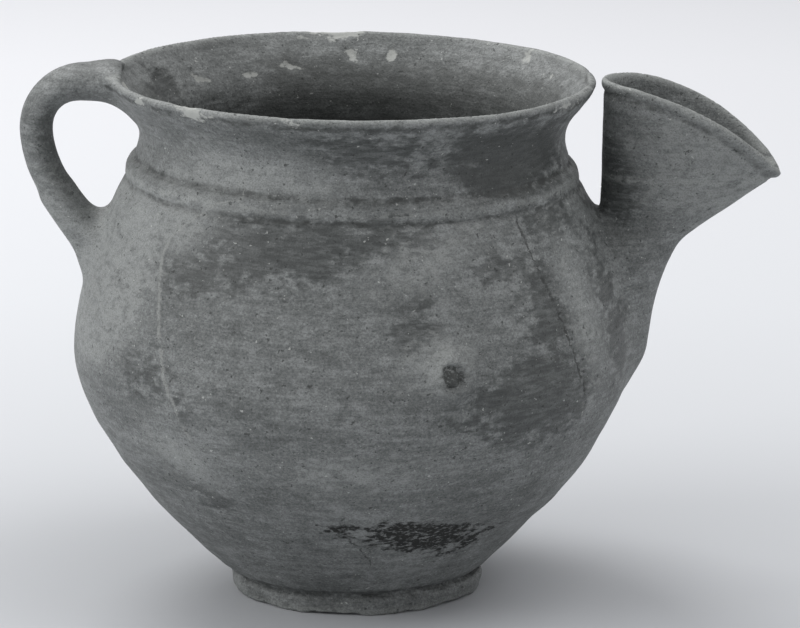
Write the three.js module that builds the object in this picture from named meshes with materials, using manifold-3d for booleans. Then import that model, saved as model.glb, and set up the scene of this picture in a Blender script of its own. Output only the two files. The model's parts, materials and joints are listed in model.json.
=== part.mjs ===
// A wide-mouthed grey pottery jar with a strap handle and a funnel spout.
// Millimetres. The jar turns about Z and rests at z = 0. The spout points to +X, the handle to -X.
// Each piece is the clay that the potter formed and luted on as one lump.
import * as THREE from 'three';
import { mergeVertices } from 'three/addons/utils/BufferGeometryUtils.js';
import Module from 'manifold-3d';

const wasm = await Module();
wasm.setup();

// Seats
const SEAT_GAP = 0.3;             // clearance between two pieces that touch

// Foot, a flat disc
const FOOT_RADIUS = 43.4;
const FOOT_HEIGHT = 6.6;
const FOOT_EDGE_ROUND = 1.6;
const FOOT_OFF_CENTRE = 1.2;      // the disc was pressed on a little towards the spout

// Body
const WAIST_RADIUS = 42.3;        // crease between body and foot
const BASE_RADIUS = 45.6;         // body just above the crease
const BASE_ROLL_HEIGHT = 1.2;
const LOWER_SLOPE = 43.3;         // degrees above the horizontal where the body leaves the crease
const LOWER_PULL = 21.6;          // length over which the body holds that slope
const BELLY_RADIUS = 97.8;
const BELLY_HEIGHT = 85.8;
const BELLY_PULL = 25.3;          // how far below the belly the wall is still nearly upright
const BELLY_CREST = 2;            // how far above the belly the wall is still upright
const SHOULDER_DRAW = 18.2;       // the shoulder's top comes in from the belly by this much
const SHOULDER_RISE = 60.2;       // from the belly's widest place to the band
const SHOULDER_SLOPE = 25.7;      // degrees off the vertical
const SHOULDER_PULL = 47.8;
const BODY_WALL = 6;
const FLOOR_THICKNESS = 8;
const FLOOR_CORNER = 2;           // the inside wall starts this far above the floor
const SCARF_DROP = 3;             // how far the joint at the belly slopes down through the wall

// Neck and lip
const BAND_HEIGHT = 7.6;
const BAND_PROUD = 1;             // the band's crest stands out from the shoulder's top
const BAND_GROOVE = 3.2;          // the groove above the band, in from the shoulder's top
const NECK_DRAW = 2.6;            // the narrowest place of the neck, in from that groove
const NECK_RISE = 8.7;            // from the band's top to the narrowest place
const NECK_WALL = 5;
const LIP_OVERHANG = 11;          // the lip's edge, out from the narrowest place
const LIP_THICKNESS = 4;
const LIP_FLARE = 40;             // degrees off the vertical
const LIP_PULL = 6;
const RIM_RISE = 19.5;            // from the narrowest place to the rim's crest
const RIM_TILT = 1.5;             // the rim stands this much higher at the handle, lower at the spout

// Handle, an oval strap bent in one plane
const HANDLE_THICKNESS = 11.6;
const HANDLE_WIDTH = 18;
const HANDLE_CREST_STANDOFF = 9.1;    // highest point of its middle line, out from the lip
const HANDLE_CREST_DROP = 2;          // and down from the rim
const HANDLE_REACH = 25.2;            // outermost point of its middle line, out from the lip
const HANDLE_BEND_DROP = 18.3;        // of that point, down from the rim
const HANDLE_ROOT_DROP = 21;          // its root on the shoulder, down from the band
const HANDLE_ROOT_ANGLE = 47.5;       // degrees below the horizontal where it runs into the shoulder
const HANDLE_SEAT_ANGLE = 30;         // degrees above the horizontal where it leaves the neck
const HANDLE_CREST_PULL = 0.42;       // shares of the distance from crest to bend: how round its top is
const HANDLE_BEND_PULL = 0.4;
const HANDLE_LEG_PULL = 0.364;        // shares of the distance from bend to root: how full its leg is
const HANDLE_ROOT_PULL = 0.36;
const HANDLE_SEAT_DEPTH = 12.8;       // how far its ends reach in before they are cut to the wall
const HANDLE_SEAT_DROP = 8;

// Luting, the soft clay smoothed round each joint
const LUTING_EDGE = 0.6;              // thickness where it thins out
const RIM_LUTING_SWELL = 7.4;
const RIM_LUTING_LENGTH = 12;
const MOUTH_CLEARANCE = 15;           // height above the rim that is kept clear over the mouth
const ROOT_LUTING_SWELL = 4;
const ROOT_LUTING_TAIL = 12;          // further swell on the underside
const ROOT_LUTING_LENGTH = 14;

// Spout, a narrow oval funnel
const SPOUT_LEAN = 28;                // degrees off the vertical
const SPOUT_MOUTH_WIDTH = 69.7;
const SPOUT_MOUTH_DEPTH = 43;
const SPOUT_MOUTH_LIFT = 8.6;         // how far the front and back of the mouth stand above its two tips
const SPOUT_LIP_GAP = 2.2;            // clear space between the spout's tip and the jar's lip
const SPOUT_TIP_DROP = 1.2;           // the inner tip below the rim
const SPOUT_THROAT_RADIUS = 12.9;
const SPOUT_FUNNEL_LENGTH = 44;
const SPOUT_THROAT_EASE = 0.12;       // how softly the funnel runs into the throat, 0 for a sharp bend
const SPOUT_LIP_THICKNESS = 2.8;
const SPOUT_WALL = 4.6;
const SPOUT_LIP_ROLL = 1.1;           // the lip turns out by this much
const SPOUT_LUTING_SIDE = 3.2;
const SPOUT_LUTING_TAIL = 11;         // swell below the spout
const SPOUT_LUTING_RISE = 21;         // along the spout, up from the body's surface
const SPOUT_LUTING_FALL = 33.5;       // and on below it, where the tail runs down the belly

// Boss, a pellet on the front of the belly with its tip broken off
const BOSS_RADIUS = 5.6;
const BOSS_PROUD = 2.4;
const BOSS_BREAK_RADIUS = 3.2;
const BOSS_SLUMP = 0.5;               // its edges are slumped by this much
const BOSS_HEIGHT = 98;
const BOSS_TURN = 21.5;               // degrees round from the front towards the spout

// Fineness of the facets
const ROUND_STEPS = 56;
const LOWER_STEPS = 10;
const SHOULDER_STEPS = 7;
const NECK_STEPS = 6;
const LIP_STEPS = 4;
const OVAL_STEPS = 24;
const STRAP_STEPS = 16;
const STRAP_LUTING_STEPS = 7;
const FUNNEL_STEPS = 9;
const FUNNEL_LUTING_STEPS = 11;
const SPOUT_LIP_STEPS = 4;
const BOSS_STEPS = 16;
const ROUND_CORNER = 1 - Math.SQRT1_2;  // where a round edge crosses the diagonal, as a share of it
const MERGE_DISTANCE = 1e-4;

const radians = THREE.MathUtils.degToRad;
const at = (x, z) => new THREE.Vector2(x, z);
const heading = (angle) => at(Math.cos(radians(angle)), Math.sin(radians(angle)));
const step = (from, direction, length) => from.clone().addScaledVector(direction, length);

// Outlines, as points of radius and height from the bottom up

function curve(start, pullStart, pullEnd, end, steps) {
  return new THREE.CubicBezierCurve(start, pullStart, pullEnd, end).getPoints(steps);
}

const baseTop = FOOT_HEIGHT + SEAT_GAP + BASE_ROLL_HEIGHT;
const belly = at(BELLY_RADIUS, BELLY_HEIGHT);
const shoulder = at(BELLY_RADIUS - SHOULDER_DRAW, BELLY_HEIGHT + SHOULDER_RISE);
const bandTop = at(shoulder.x - BAND_GROOVE, shoulder.y + BAND_HEIGHT);
const joint = shoulder.clone().lerp(bandTop, 0.5);
const waist = at(bandTop.x - NECK_DRAW, bandTop.y + NECK_RISE);
const rimHeight = waist.y + RIM_RISE;
const lipRadius = waist.x + LIP_OVERHANG;
const lipCentre = at(lipRadius - LIP_THICKNESS / 2, rimHeight - LIP_THICKNESS / 2);
const lipStart = step(lipCentre, heading(-LIP_FLARE), LIP_THICKNESS / 2);

function lowerOutline() {
  const base = at(BASE_RADIUS, baseTop);
  const pullStart = step(base, heading(LOWER_SLOPE), LOWER_PULL);
  return curve(base, pullStart, at(BELLY_RADIUS, BELLY_HEIGHT - BELLY_PULL), belly, LOWER_STEPS);
}

function shoulderOutline() {
  const pullEnd = step(shoulder, heading(90 + SHOULDER_SLOPE), -SHOULDER_PULL);
  return curve(belly, at(BELLY_RADIUS, BELLY_HEIGHT + BELLY_CREST), pullEnd, shoulder, SHOULDER_STEPS);
}

function neckOutline() {
  const lower = curve(
    bandTop, at((bandTop.x + waist.x) / 2, bandTop.y + NECK_RISE / 4),
    at(waist.x, waist.y - NECK_RISE / 2), waist, NECK_STEPS / 2,
  );
  const upper = curve(
    waist, at(waist.x, waist.y + LIP_PULL),
    step(lipStart, heading(90 - LIP_FLARE), -LIP_PULL), lipStart, NECK_STEPS,
  );
  return [...lower, ...upper.slice(1)];
}

// The round edge of the lip, from its outer side over the crest to its inner side
function lipEdge() {
  const points = [];
  for (let i = 1; i <= LIP_STEPS; i += 1) {
    points.push(step(lipCentre, heading(-LIP_FLARE + (180 * i) / LIP_STEPS), LIP_THICKNESS / 2));
  }
  return points;
}

const bodyOutline = [...lowerOutline(), ...shoulderOutline().slice(1)];
const wholeOutline = [...bodyOutline, ...neckOutline()];

// Outer radius of the body at a height
function bodyRadius(height) {
  const above = bodyOutline.findIndex((point) => point.y >= height);
  const [low, high] = [bodyOutline[Math.max(above - 1, 0)], bodyOutline[Math.max(above, 0)]];
  const share = high.y === low.y ? 0 : (height - low.y) / (high.y - low.y);
  return low.x + (high.x - low.x) * THREE.MathUtils.clamp(share, 0, 1);
}

// Moves an outline sideways: outwards for a positive distance
function shift(points, distance) {
  return points.map((point, i) => {
    const before = points[Math.max(i - 1, 0)];
    const after = points[Math.min(i + 1, points.length - 1)];
    const along = after.clone().sub(before).normalize();
    return at(point.x + along.y * distance(point), point.y - along.x * distance(point));
  });
}

function wallAt(point) {
  const share = THREE.MathUtils.smoothstep(point.y, shoulder.y, waist.y);
  const lipShare = THREE.MathUtils.smoothstep(point.y, waist.y, lipStart.y);
  return BODY_WALL + (NECK_WALL - BODY_WALL) * share + (LIP_THICKNESS - NECK_WALL) * lipShare;
}

// Solids

function toSolid(geometry) {
  const bare = geometry.clone();
  bare.deleteAttribute('normal');
  bare.deleteAttribute('uv');
  const merged = mergeVertices(bare, MERGE_DISTANCE);
  const corners = Array.from(merged.index.array);
  const kept = [];
  for (let i = 0; i < corners.length; i += 3) {
    const [a, b, c] = corners.slice(i, i + 3);
    if (a !== b && b !== c && c !== a) kept.push(a, b, c);
  }
  return new wasm.Manifold(new wasm.Mesh({
    numProp: 3,
    vertProperties: new Float32Array(merged.attributes.position.array),
    triVerts: new Uint32Array(kept),
  }));
}

function toGeometry(solid) {
  const mesh = solid.getMesh();
  const geometry = new THREE.BufferGeometry();
  geometry.setAttribute('position', new THREE.BufferAttribute(mesh.vertProperties, 3));
  geometry.setIndex(new THREE.BufferAttribute(mesh.triVerts, 1));
  geometry.computeVertexNormals();
  return geometry;
}

// Leans everything above the band, so that the rim is high at the handle and low at the spout
function tiltRim(geometry) {
  const position = geometry.attributes.position;
  for (let i = 0; i < position.count; i += 1) {
    const share = THREE.MathUtils.clamp(
      (position.getZ(i) - bandTop.y) / (rimHeight - bandTop.y), 0, 1,
    );
    const drop = (RIM_TILT * share * position.getX(i)) / lipRadius;
    position.setZ(i, position.getZ(i) - drop);
  }
  return geometry;
}

function turned(points, steps = ROUND_STEPS) {
  const closed = points[0].x === 0 ? points : [...points, points[0].clone()];
  const geometry = new THREE.LatheGeometry(closed, steps);
  geometry.rotateX(Math.PI / 2);
  return geometry;
}

function wallPiece(outer, innerStart, innerEnd) {
  const inner = shift(outer, (point) => -wallAt(point));
  inner[0] = innerStart ?? inner[0];
  inner[inner.length - 1] = innerEnd ?? inner[inner.length - 1];
  return turned([...outer, ...inner.reverse()]);
}

// Joins rings of equal length into a skin. A sleeve's last ring joins its first.
function skin(rings, isSleeve) {
  const count = rings[0].length;
  const positions = rings.flat().flatMap((point) => point.toArray());
  const triangles = [];
  const bands = isSleeve ? rings.length : rings.length - 1;
  for (let i = 0; i < bands; i += 1) {
    const next = (i + 1) % rings.length;
    for (let j = 0; j < count; j += 1) {
      const k = (j + 1) % count;
      const [a, b, c, d] = [i * count + j, i * count + k, next * count + k, next * count + j];
      triangles.push(a, b, c, a, c, d);
    }
  }
  if (!isSleeve) {
    const last = (rings.length - 1) * count;
    for (let j = 1; j < count - 1; j += 1) {
      triangles.push(0, j + 1, j);
      triangles.push(last, last + j, last + j + 1);
    }
  }
  const geometry = new THREE.BufferGeometry();
  geometry.setAttribute('position', new THREE.Float32BufferAttribute(positions, 3));
  geometry.setIndex(triangles);
  return geometry;
}

// An oval ring about a point of the XZ plane. It is wide along `across` and deep along Y.
function ovalRing(centre, across, halfWidth, halfDepth, lift = () => at(0, 0), steps = OVAL_STEPS) {
  const ring = [];
  for (let i = 0; i < steps; i += 1) {
    const angle = (2 * Math.PI * i) / steps;
    const point = step(centre, across, halfWidth(angle) * Math.cos(angle)).add(lift(angle));
    ring.push(new THREE.Vector3(point.x, halfDepth(angle) * Math.sin(angle), point.y));
  }
  return ring;
}

// Solid of the whole jar's outside, grown by the seat gap, with the clear space above its mouth.
// What sits on the wall is cut by it.
function outsideSolid() {
  const edge = shift([...wholeOutline, ...lipEdge()], () => SEAT_GAP);
  const clear = rimHeight + MOUTH_CLEARANCE;
  return toSolid(tiltRim(turned([
    at(0, FOOT_HEIGHT),
    ...edge,
    at(edge[edge.length - 1].x, clear),
    at(0, clear),
  ])));
}

const outside = outsideSolid();

// Foot and body

function footGeometry() {
  const round = FOOT_EDGE_ROUND;
  const corner = round * ROUND_CORNER;
  return turned([
    at(0, 0),
    at(FOOT_RADIUS - round, 0),
    at(FOOT_RADIUS - corner, corner),
    at(FOOT_RADIUS, round),
    at(FOOT_RADIUS, FOOT_HEIGHT - round),
    at(FOOT_RADIUS - corner, FOOT_HEIGHT - corner),
    at(FOOT_RADIUS - round, FOOT_HEIGHT),
    at(0, FOOT_HEIGHT),
  ]);
}

function lowerBodyGeometry() {
  const floor = FOOT_HEIGHT + SEAT_GAP;
  const outer = lowerOutline();
  outer[outer.length - 1] = at(BELLY_RADIUS, BELLY_HEIGHT - SEAT_GAP / 2);
  const top = at(BELLY_RADIUS - BODY_WALL, BELLY_HEIGHT - SEAT_GAP / 2 - SCARF_DROP);
  const inner = shift(outer, () => -BODY_WALL)
    .filter((point) => point.y > floor + FLOOR_THICKNESS + FLOOR_CORNER && point.y < top.y - SEAT_GAP);
  return turned([
    at(0, floor),
    at(WAIST_RADIUS, floor),
    ...outer,
    top,
    ...inner.reverse(),
    at(BASE_RADIUS - BODY_WALL, floor + FLOOR_THICKNESS),
    at(0, floor + FLOOR_THICKNESS),
  ]);
}

function upperBodySolid() {
  const outer = shoulderOutline();
  outer[0] = at(BELLY_RADIUS, BELLY_HEIGHT + SEAT_GAP / 2);
  const edge = at(joint.x, joint.y - SEAT_GAP / 2);
  outer.push(edge);
  const start = at(BELLY_RADIUS - BODY_WALL, BELLY_HEIGHT + SEAT_GAP / 2 - SCARF_DROP);
  const end = at(edge.x - wallAt(edge), edge.y);
  const wall = toSolid(wallPiece(outer, start, end));
  return wall.subtract(toSolid(spoutBore()));
}

function neckBandGeometry() {
  const seat = (point) => at(point.x + SEAT_GAP, point.y);
  const bottom = seat(shoulder);
  const top = seat(bandTop);
  const middle = at(shoulder.x + BAND_PROUD, joint.y);
  const lift = at(0, BAND_HEIGHT / 4);
  return turned([
    ...curve(bottom, at(middle.x, bottom.y), middle.clone().sub(lift), middle, 2),
    ...curve(middle, middle.clone().add(lift), at((middle.x + top.x) / 2, top.y), top, 3).slice(1),
  ]);
}

function neckGeometry() {
  const edge = at(joint.x, joint.y + SEAT_GAP / 2);
  const outer = [edge, ...neckOutline()];
  const inner = shift(outer, (point) => -wallAt(point));
  inner[0] = at(edge.x - wallAt(edge), edge.y);
  inner.pop();
  return tiltRim(turned([...outer, ...lipEdge(), ...inner.reverse()]));
}

// Handle

const crest = at(-(lipRadius + HANDLE_CREST_STANDOFF), rimHeight - HANDLE_CREST_DROP);
const bend = at(-(lipRadius + HANDLE_REACH), rimHeight - HANDLE_BEND_DROP);
const lipSeat = at(-(lipRadius - HANDLE_SEAT_DEPTH), rimHeight - HANDLE_SEAT_DROP);
const rootHeight = shoulder.y - HANDLE_ROOT_DROP;
const root = at(-bodyRadius(rootHeight), rootHeight);
const rootHeading = heading(-HANDLE_ROOT_ANGLE);

function handleLine() {
  const span = crest.distanceTo(bend);
  const fall = bend.distanceTo(root);
  const line = new THREE.CurvePath();
  line.add(new THREE.CubicBezierCurve(
    lipSeat, step(lipSeat, heading(180 - HANDLE_SEAT_ANGLE), HANDLE_SEAT_DROP),
    step(crest, at(1, 0), HANDLE_SEAT_DROP), crest,
  ));
  line.add(new THREE.CubicBezierCurve(
    crest, step(crest, at(-1, 0), span * HANDLE_CREST_PULL),
    step(bend, at(0, 1), span * HANDLE_BEND_PULL), bend,
  ));
  line.add(new THREE.CubicBezierCurve(
    bend, step(bend, at(0, -1), fall * HANDLE_LEG_PULL),
    step(root, rootHeading, -fall * HANDLE_ROOT_PULL), root,
  ));
  line.add(new THREE.LineCurve(root, step(root, rootHeading, HANDLE_SEAT_DEPTH)));
  return line;
}

const handlePath = handleLine();
const handleLength = handlePath.getLength();

// Ring round the handle at a length along it, grown by `grow` towards each side
function handleRing(along, grow) {
  const share = THREE.MathUtils.clamp(along / handleLength, 0, 1);
  const tangent = handlePath.getTangentAt(share);
  const outward = at(-tangent.y, tangent.x).negate();
  return ovalRing(
    handlePath.getPointAt(share), outward,
    (angle) => HANDLE_THICKNESS / 2 + grow(angle),
    (angle) => HANDLE_WIDTH / 2 + grow(angle),
    undefined, OVAL_STEPS / 2,
  );
}

function handleSolid() {
  const rings = [];
  for (let i = 0; i <= STRAP_STEPS; i += 1) {
    rings.push(handleRing((handleLength * i) / STRAP_STEPS, () => 0));
  }
  return toSolid(skin(rings, false)).subtract(outside);
}

// A sleeve of soft clay round the handle between two lengths. It swells to the second one.
function handleLuting(thinEnd, thickEnd, swell, tail) {
  const outer = [];
  const inner = [];
  for (let i = 0; i <= STRAP_LUTING_STEPS; i += 1) {
    const share = i / STRAP_LUTING_STEPS;
    const along = thinEnd + (thickEnd - thinEnd) * share;
    const rise = share ** 2;
    const growth = (angle) => LUTING_EDGE + rise * (swell + tail * Math.max(0, Math.cos(angle)));
    outer.push(handleRing(along, (angle) => SEAT_GAP + growth(angle)));
    inner.push(handleRing(along, () => SEAT_GAP));
  }
  const rings = [...outer, ...inner.reverse()];
  const ordered = thickEnd > thinEnd ? rings : rings.reverse();
  return toSolid(skin(ordered, true)).subtract(outside);
}

// Spout

const spoutAxis = heading(90 - SPOUT_LEAN);
const spoutAcross = heading(-SPOUT_LEAN);
const mouth = at(
  lipRadius + SPOUT_LIP_GAP + (SPOUT_MOUTH_WIDTH / 2) * spoutAcross.x,
  rimHeight - SPOUT_TIP_DROP + (SPOUT_MOUTH_WIDTH / 2) * spoutAcross.y,
);

// How open the funnel is at a depth below the mouth: 1 at the mouth, 0 in the throat
function openness(depth) {
  const straight = 1 - depth / SPOUT_FUNNEL_LENGTH;
  return (straight + Math.hypot(straight, SPOUT_THROAT_EASE)) / 2;
}

// Ring of the funnel at a depth below the mouth. `inset` goes in from the outer face.
function spoutRing(depth, inset) {
  const open = openness(depth);
  const halfWidth = SPOUT_THROAT_RADIUS + (SPOUT_MOUTH_WIDTH / 2 - SPOUT_THROAT_RADIUS) * open;
  const halfDepth = SPOUT_THROAT_RADIUS + (SPOUT_MOUTH_DEPTH / 2 - SPOUT_THROAT_RADIUS) * open;
  const lift = SPOUT_MOUTH_LIFT * Math.max(open, 0);
  return ovalRing(
    step(mouth, spoutAxis, -depth), spoutAcross,
    (angle) => halfWidth - inset(angle), (angle) => halfDepth - inset(angle),
    (angle) => spoutAxis.clone().multiplyScalar(lift * Math.sin(angle) ** 2),
  );
}

// Where the spout's middle line meets the body, as a depth below the mouth
function spoutRootDepth() {
  const stride = 0.5;
  let depth = 0;
  for (let point = mouth; point.x > bodyRadius(point.y); point = step(mouth, spoutAxis, -depth)) {
    depth += stride;
  }
  return depth;
}

const rootDepth = spoutRootDepth();
const seatedDepth = rootDepth + SPOUT_THROAT_RADIUS + BODY_WALL;

function spoutSolid() {
  const round = SPOUT_LIP_THICKNESS / 2;
  const depths = [];
  for (let i = 0; i <= FUNNEL_STEPS; i += 1) {
    depths.push(2 * round + ((seatedDepth - 2 * round) * i) / FUNNEL_STEPS);
  }
  const outer = depths.map((depth) => spoutRing(depth, () => 0)).reverse();
  const lip = [];
  for (let i = 0; i <= SPOUT_LIP_STEPS; i += 1) {
    const turn = (Math.PI * i) / SPOUT_LIP_STEPS;
    const inset = round * (1 - Math.cos(turn)) - SPOUT_LIP_ROLL;
    lip.push(spoutRing(round * (1 - Math.sin(turn)), () => inset));
  }
  const thickness = (depth) => {
    const open = Math.min(openness(depth), 1);
    return SPOUT_WALL + (SPOUT_LIP_THICKNESS - SPOUT_WALL) * open;
  };
  const inner = depths.map((depth) => spoutRing(depth, () => thickness(depth)));
  return toSolid(skin([...outer, ...lip, ...inner], true)).subtract(outside);
}

// The hole through the shoulder, as wide as the throat
function spoutBore() {
  const bore = SPOUT_THROAT_RADIUS - SPOUT_WALL;
  const ends = [seatedDepth + 2 * BODY_WALL, rootDepth - 2 * BODY_WALL];
  return skin(ends.map((depth) => ovalRing(
    step(mouth, spoutAxis, -depth), spoutAcross, () => bore, () => bore,
  )), false);
}

function spoutLutingSolid() {
  const outer = [];
  const inner = [];
  for (let i = 0; i <= FUNNEL_LUTING_STEPS; i += 1) {
    const share = i / FUNNEL_LUTING_STEPS;
    const depth = rootDepth - SPOUT_LUTING_RISE + (SPOUT_LUTING_RISE + SPOUT_LUTING_FALL) * share;
    const growth = (angle) => {
      const below = Math.max(0, Math.cos(angle)) ** 2 * THREE.MathUtils.smoothstep(share, 0, 1);
      const side = SPOUT_LUTING_SIDE * THREE.MathUtils.smoothstep(share, 0, 0.5);
      return LUTING_EDGE + side * (1 - below) + below * SPOUT_LUTING_TAIL;
    };
    outer.push(spoutRing(depth, (angle) => -(SEAT_GAP + growth(angle))));
    inner.push(spoutRing(depth, () => -SEAT_GAP));
  }
  return toSolid(skin([...outer.reverse(), ...inner], true)).subtract(outside);
}

// Boss

function bossSolid() {
  const reach = bodyRadius(BOSS_HEIGHT);
  const pellet = turned([
    at(0, -BODY_WALL / 2),
    at(BOSS_RADIUS, -BODY_WALL / 2),
    at(BOSS_RADIUS, 0),
    at(BOSS_RADIUS - BOSS_SLUMP, BOSS_PROUD / 2),
    at(BOSS_BREAK_RADIUS + BOSS_SLUMP, BOSS_PROUD - BOSS_SLUMP / 2),
    at(BOSS_BREAK_RADIUS, BOSS_PROUD),
    at(0, BOSS_PROUD),
  ], BOSS_STEPS);
  pellet.rotateX(Math.PI / 2);
  pellet.translate(0, -reach, BOSS_HEIGHT);
  pellet.rotateZ(radians(BOSS_TURN));
  return toSolid(pellet).subtract(outside);
}

// Scene

function clay(colour, roughness) {
  return new THREE.MeshStandardMaterial({ color: colour, roughness, metalness: 0 });
}

const jar = new THREE.Group();

function add(name, geometry, material) {
  const mesh = new THREE.Mesh(geometry, material);
  mesh.name = name;
  jar.add(mesh);
  return mesh;
}

const bodyClay = clay(0x6b6e6e, 0.85);
const darkClay = clay(0x5a5c5c, 0.88);
const neckClay = clay(0x747777, 0.82);

add('foot', footGeometry(), darkClay).position.x = FOOT_OFF_CENTRE;
add('lower_body', lowerBodyGeometry(), bodyClay);
add('upper_body', toGeometry(upperBodySolid()), bodyClay);
add('neck_band', neckBandGeometry(), bodyClay);
add('neck', neckGeometry(), neckClay);
add('handle', toGeometry(handleSolid()), neckClay);
add('handle_rim_luting', toGeometry(handleLuting(
  HANDLE_SEAT_DEPTH + RIM_LUTING_LENGTH, 0, RIM_LUTING_SWELL, 0,
)), neckClay);
add('handle_root_luting', toGeometry(handleLuting(
  handleLength - HANDLE_SEAT_DEPTH - ROOT_LUTING_LENGTH, handleLength, ROOT_LUTING_SWELL, ROOT_LUTING_TAIL,
)), bodyClay);
add('spout', toGeometry(spoutSolid()), darkClay);
add('spout_luting', toGeometry(spoutLutingSolid()), bodyClay);
add('boss', toGeometry(bossSolid()), darkClay);

export default jar;
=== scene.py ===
"""A grey pottery jar with a strap handle and a funnel spout, in a plain studio.

Shapes are worked out in millimetres in the frame's own axes: the jar turns about Z, the spout
points to +X and the handle to -X. Each lump of clay is a distance field. The fields are luted
together with soft fillets, as a potter smooths wet clay, and the skin of the whole is then cut
into the pieces that were formed one by one.
"""
from __future__ import annotations

import json
import logging
import math
from dataclasses import dataclass, field
from enum import Enum

import bmesh
import bpy
import numpy as np
import openvdb as vdb
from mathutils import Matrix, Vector

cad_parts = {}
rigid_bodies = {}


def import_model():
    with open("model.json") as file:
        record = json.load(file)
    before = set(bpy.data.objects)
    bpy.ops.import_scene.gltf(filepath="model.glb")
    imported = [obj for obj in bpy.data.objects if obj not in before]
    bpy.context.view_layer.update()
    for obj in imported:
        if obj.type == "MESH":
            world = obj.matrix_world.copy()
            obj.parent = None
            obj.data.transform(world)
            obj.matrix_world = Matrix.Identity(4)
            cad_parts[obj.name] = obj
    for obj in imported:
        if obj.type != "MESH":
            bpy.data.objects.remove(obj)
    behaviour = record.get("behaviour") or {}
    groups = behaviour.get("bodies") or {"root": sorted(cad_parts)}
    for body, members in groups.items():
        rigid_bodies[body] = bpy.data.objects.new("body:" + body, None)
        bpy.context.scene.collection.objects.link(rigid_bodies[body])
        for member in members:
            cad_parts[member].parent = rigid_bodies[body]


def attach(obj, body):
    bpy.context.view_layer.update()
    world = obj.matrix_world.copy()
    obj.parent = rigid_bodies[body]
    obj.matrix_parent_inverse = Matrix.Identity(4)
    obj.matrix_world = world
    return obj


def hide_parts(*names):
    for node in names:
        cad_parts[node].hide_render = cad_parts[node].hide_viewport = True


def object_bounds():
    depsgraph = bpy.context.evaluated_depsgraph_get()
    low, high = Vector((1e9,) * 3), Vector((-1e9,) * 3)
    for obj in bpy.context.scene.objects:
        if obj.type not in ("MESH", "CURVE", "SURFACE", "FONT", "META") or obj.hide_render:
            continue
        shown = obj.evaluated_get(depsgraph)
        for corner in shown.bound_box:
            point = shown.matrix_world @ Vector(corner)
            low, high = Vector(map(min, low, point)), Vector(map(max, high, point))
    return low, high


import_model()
CAD_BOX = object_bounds()

MM = 0.001
LOG = logging.getLogger("jar")
HASH_STEPS = (374761393, 668265263, 2147483647)
HASH_SEED = 1274126177
HASH_MIX = 2246822519
HALF_RANGE = 8388607.5


def heading(angle: float) -> np.ndarray:
    """Returns the unit direction at an angle in degrees above the first axis."""
    return np.array([math.cos(math.radians(angle)), math.sin(math.radians(angle))])


def bezier(start, pull_start, pull_end, end, steps: int) -> np.ndarray:
    """Draws a cubic curve.

    Args:
        start, pull_start, pull_end, end: the curve's four points.
        steps: how many stretches it is drawn with.

    Returns:
        An array of steps + 1 points.
    """
    t = np.linspace(0.0, 1.0, steps + 1)[:, None]
    points = [np.asarray(point, float) for point in (start, pull_start, pull_end, end)]
    shares = [(1 - t) ** 3, 3 * t * (1 - t) ** 2, 3 * t**2 * (1 - t), t**3]
    return sum(share * point for share, point in zip(shares, points))


def smoothstep(low: float, high: float, value: np.ndarray) -> np.ndarray:
    """Returns 0 below low, 1 above high and an even S curve between."""
    share = np.clip((value - low) / (high - low), 0.0, 1.0)
    return share * share * (3.0 - 2.0 * share)


def smooth_union(first, second, blend) -> np.ndarray:
    """Joins two distance fields with a fillet.

    Args:
        first, second: distances in mm, negative inside the clay.
        blend: how near to both surfaces the fillet starts, in mm.

    Returns:
        The joined distances.
    """
    share = np.clip(0.5 + 0.5 * (second - first) / blend, 0.0, 1.0)
    return second + (first - second) * share - blend * share * (1.0 - share)


def smooth_cut(clay, tool, blend) -> np.ndarray:
    """Takes one distance field out of another and rounds the edge that this leaves."""
    return -smooth_union(-clay, tool, blend)


def unevenness(points: np.ndarray, spacing, seed: int) -> np.ndarray:
    """Gives smooth random heights at points, the same on every run.

    Args:
        points: an array of N positions in mm.
        spacing: distance between neighbouring bumps in mm, one number or one for each axis.
        seed: picks the pattern.

    Returns:
        N values from -1 to 1.
    """
    place = points / np.asarray(spacing, float) + 1000.0 + 17.31 * seed
    corner = np.floor(place).astype(np.int64)
    share = place - corner
    share = share**3 * (share * (share * 6 - 15) + 10)
    total = np.zeros(len(points))
    for dx in (0, 1):
        for dy in (0, 1):
            for dz in (0, 1):
                key = (corner[:, 0] + dx) * HASH_STEPS[0] + (corner[:, 1] + dy) * HASH_STEPS[1]
                key = (key + (corner[:, 2] + dz) * HASH_STEPS[2] + seed * HASH_SEED) & 0xFFFFFFFF
                key = ((key ^ (key >> 13)) * HASH_SEED) & 0xFFFFFFFF
                key = ((key ^ (key >> 16)) * HASH_MIX) & 0xFFFFFFFF
                value = ((key ^ (key >> 15)) & 0xFFFFFF) / HALF_RANGE - 1.0
                weight = np.where(dx, share[:, 0], 1 - share[:, 0])
                weight = weight * np.where(dy, share[:, 1], 1 - share[:, 1])
                total += value * weight * np.where(dz, share[:, 2], 1 - share[:, 2])
    return total


def wad(points: np.ndarray, top, end, radii) -> np.ndarray:
    """Measures a rounded wad of clay pressed on in the jar's middle plane.

    Args:
        points: N positions in mm.
        top, end: X and Z of the middles of its two ends.
        radii: its radius at the two ends.

    Returns:
        The distance from each point to the wad, in mm.
    """
    start = np.array([top[0], 0.0, top[1]])
    run = np.array([end[0], 0.0, end[1]]) - start
    share = np.clip((points - start) @ run / (run @ run), 0.0, 1.0)
    radius = radii[0] + (radii[1] - radii[0]) * share
    return np.linalg.norm(points - start - share[:, None] * run, axis=1) - radius


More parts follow.
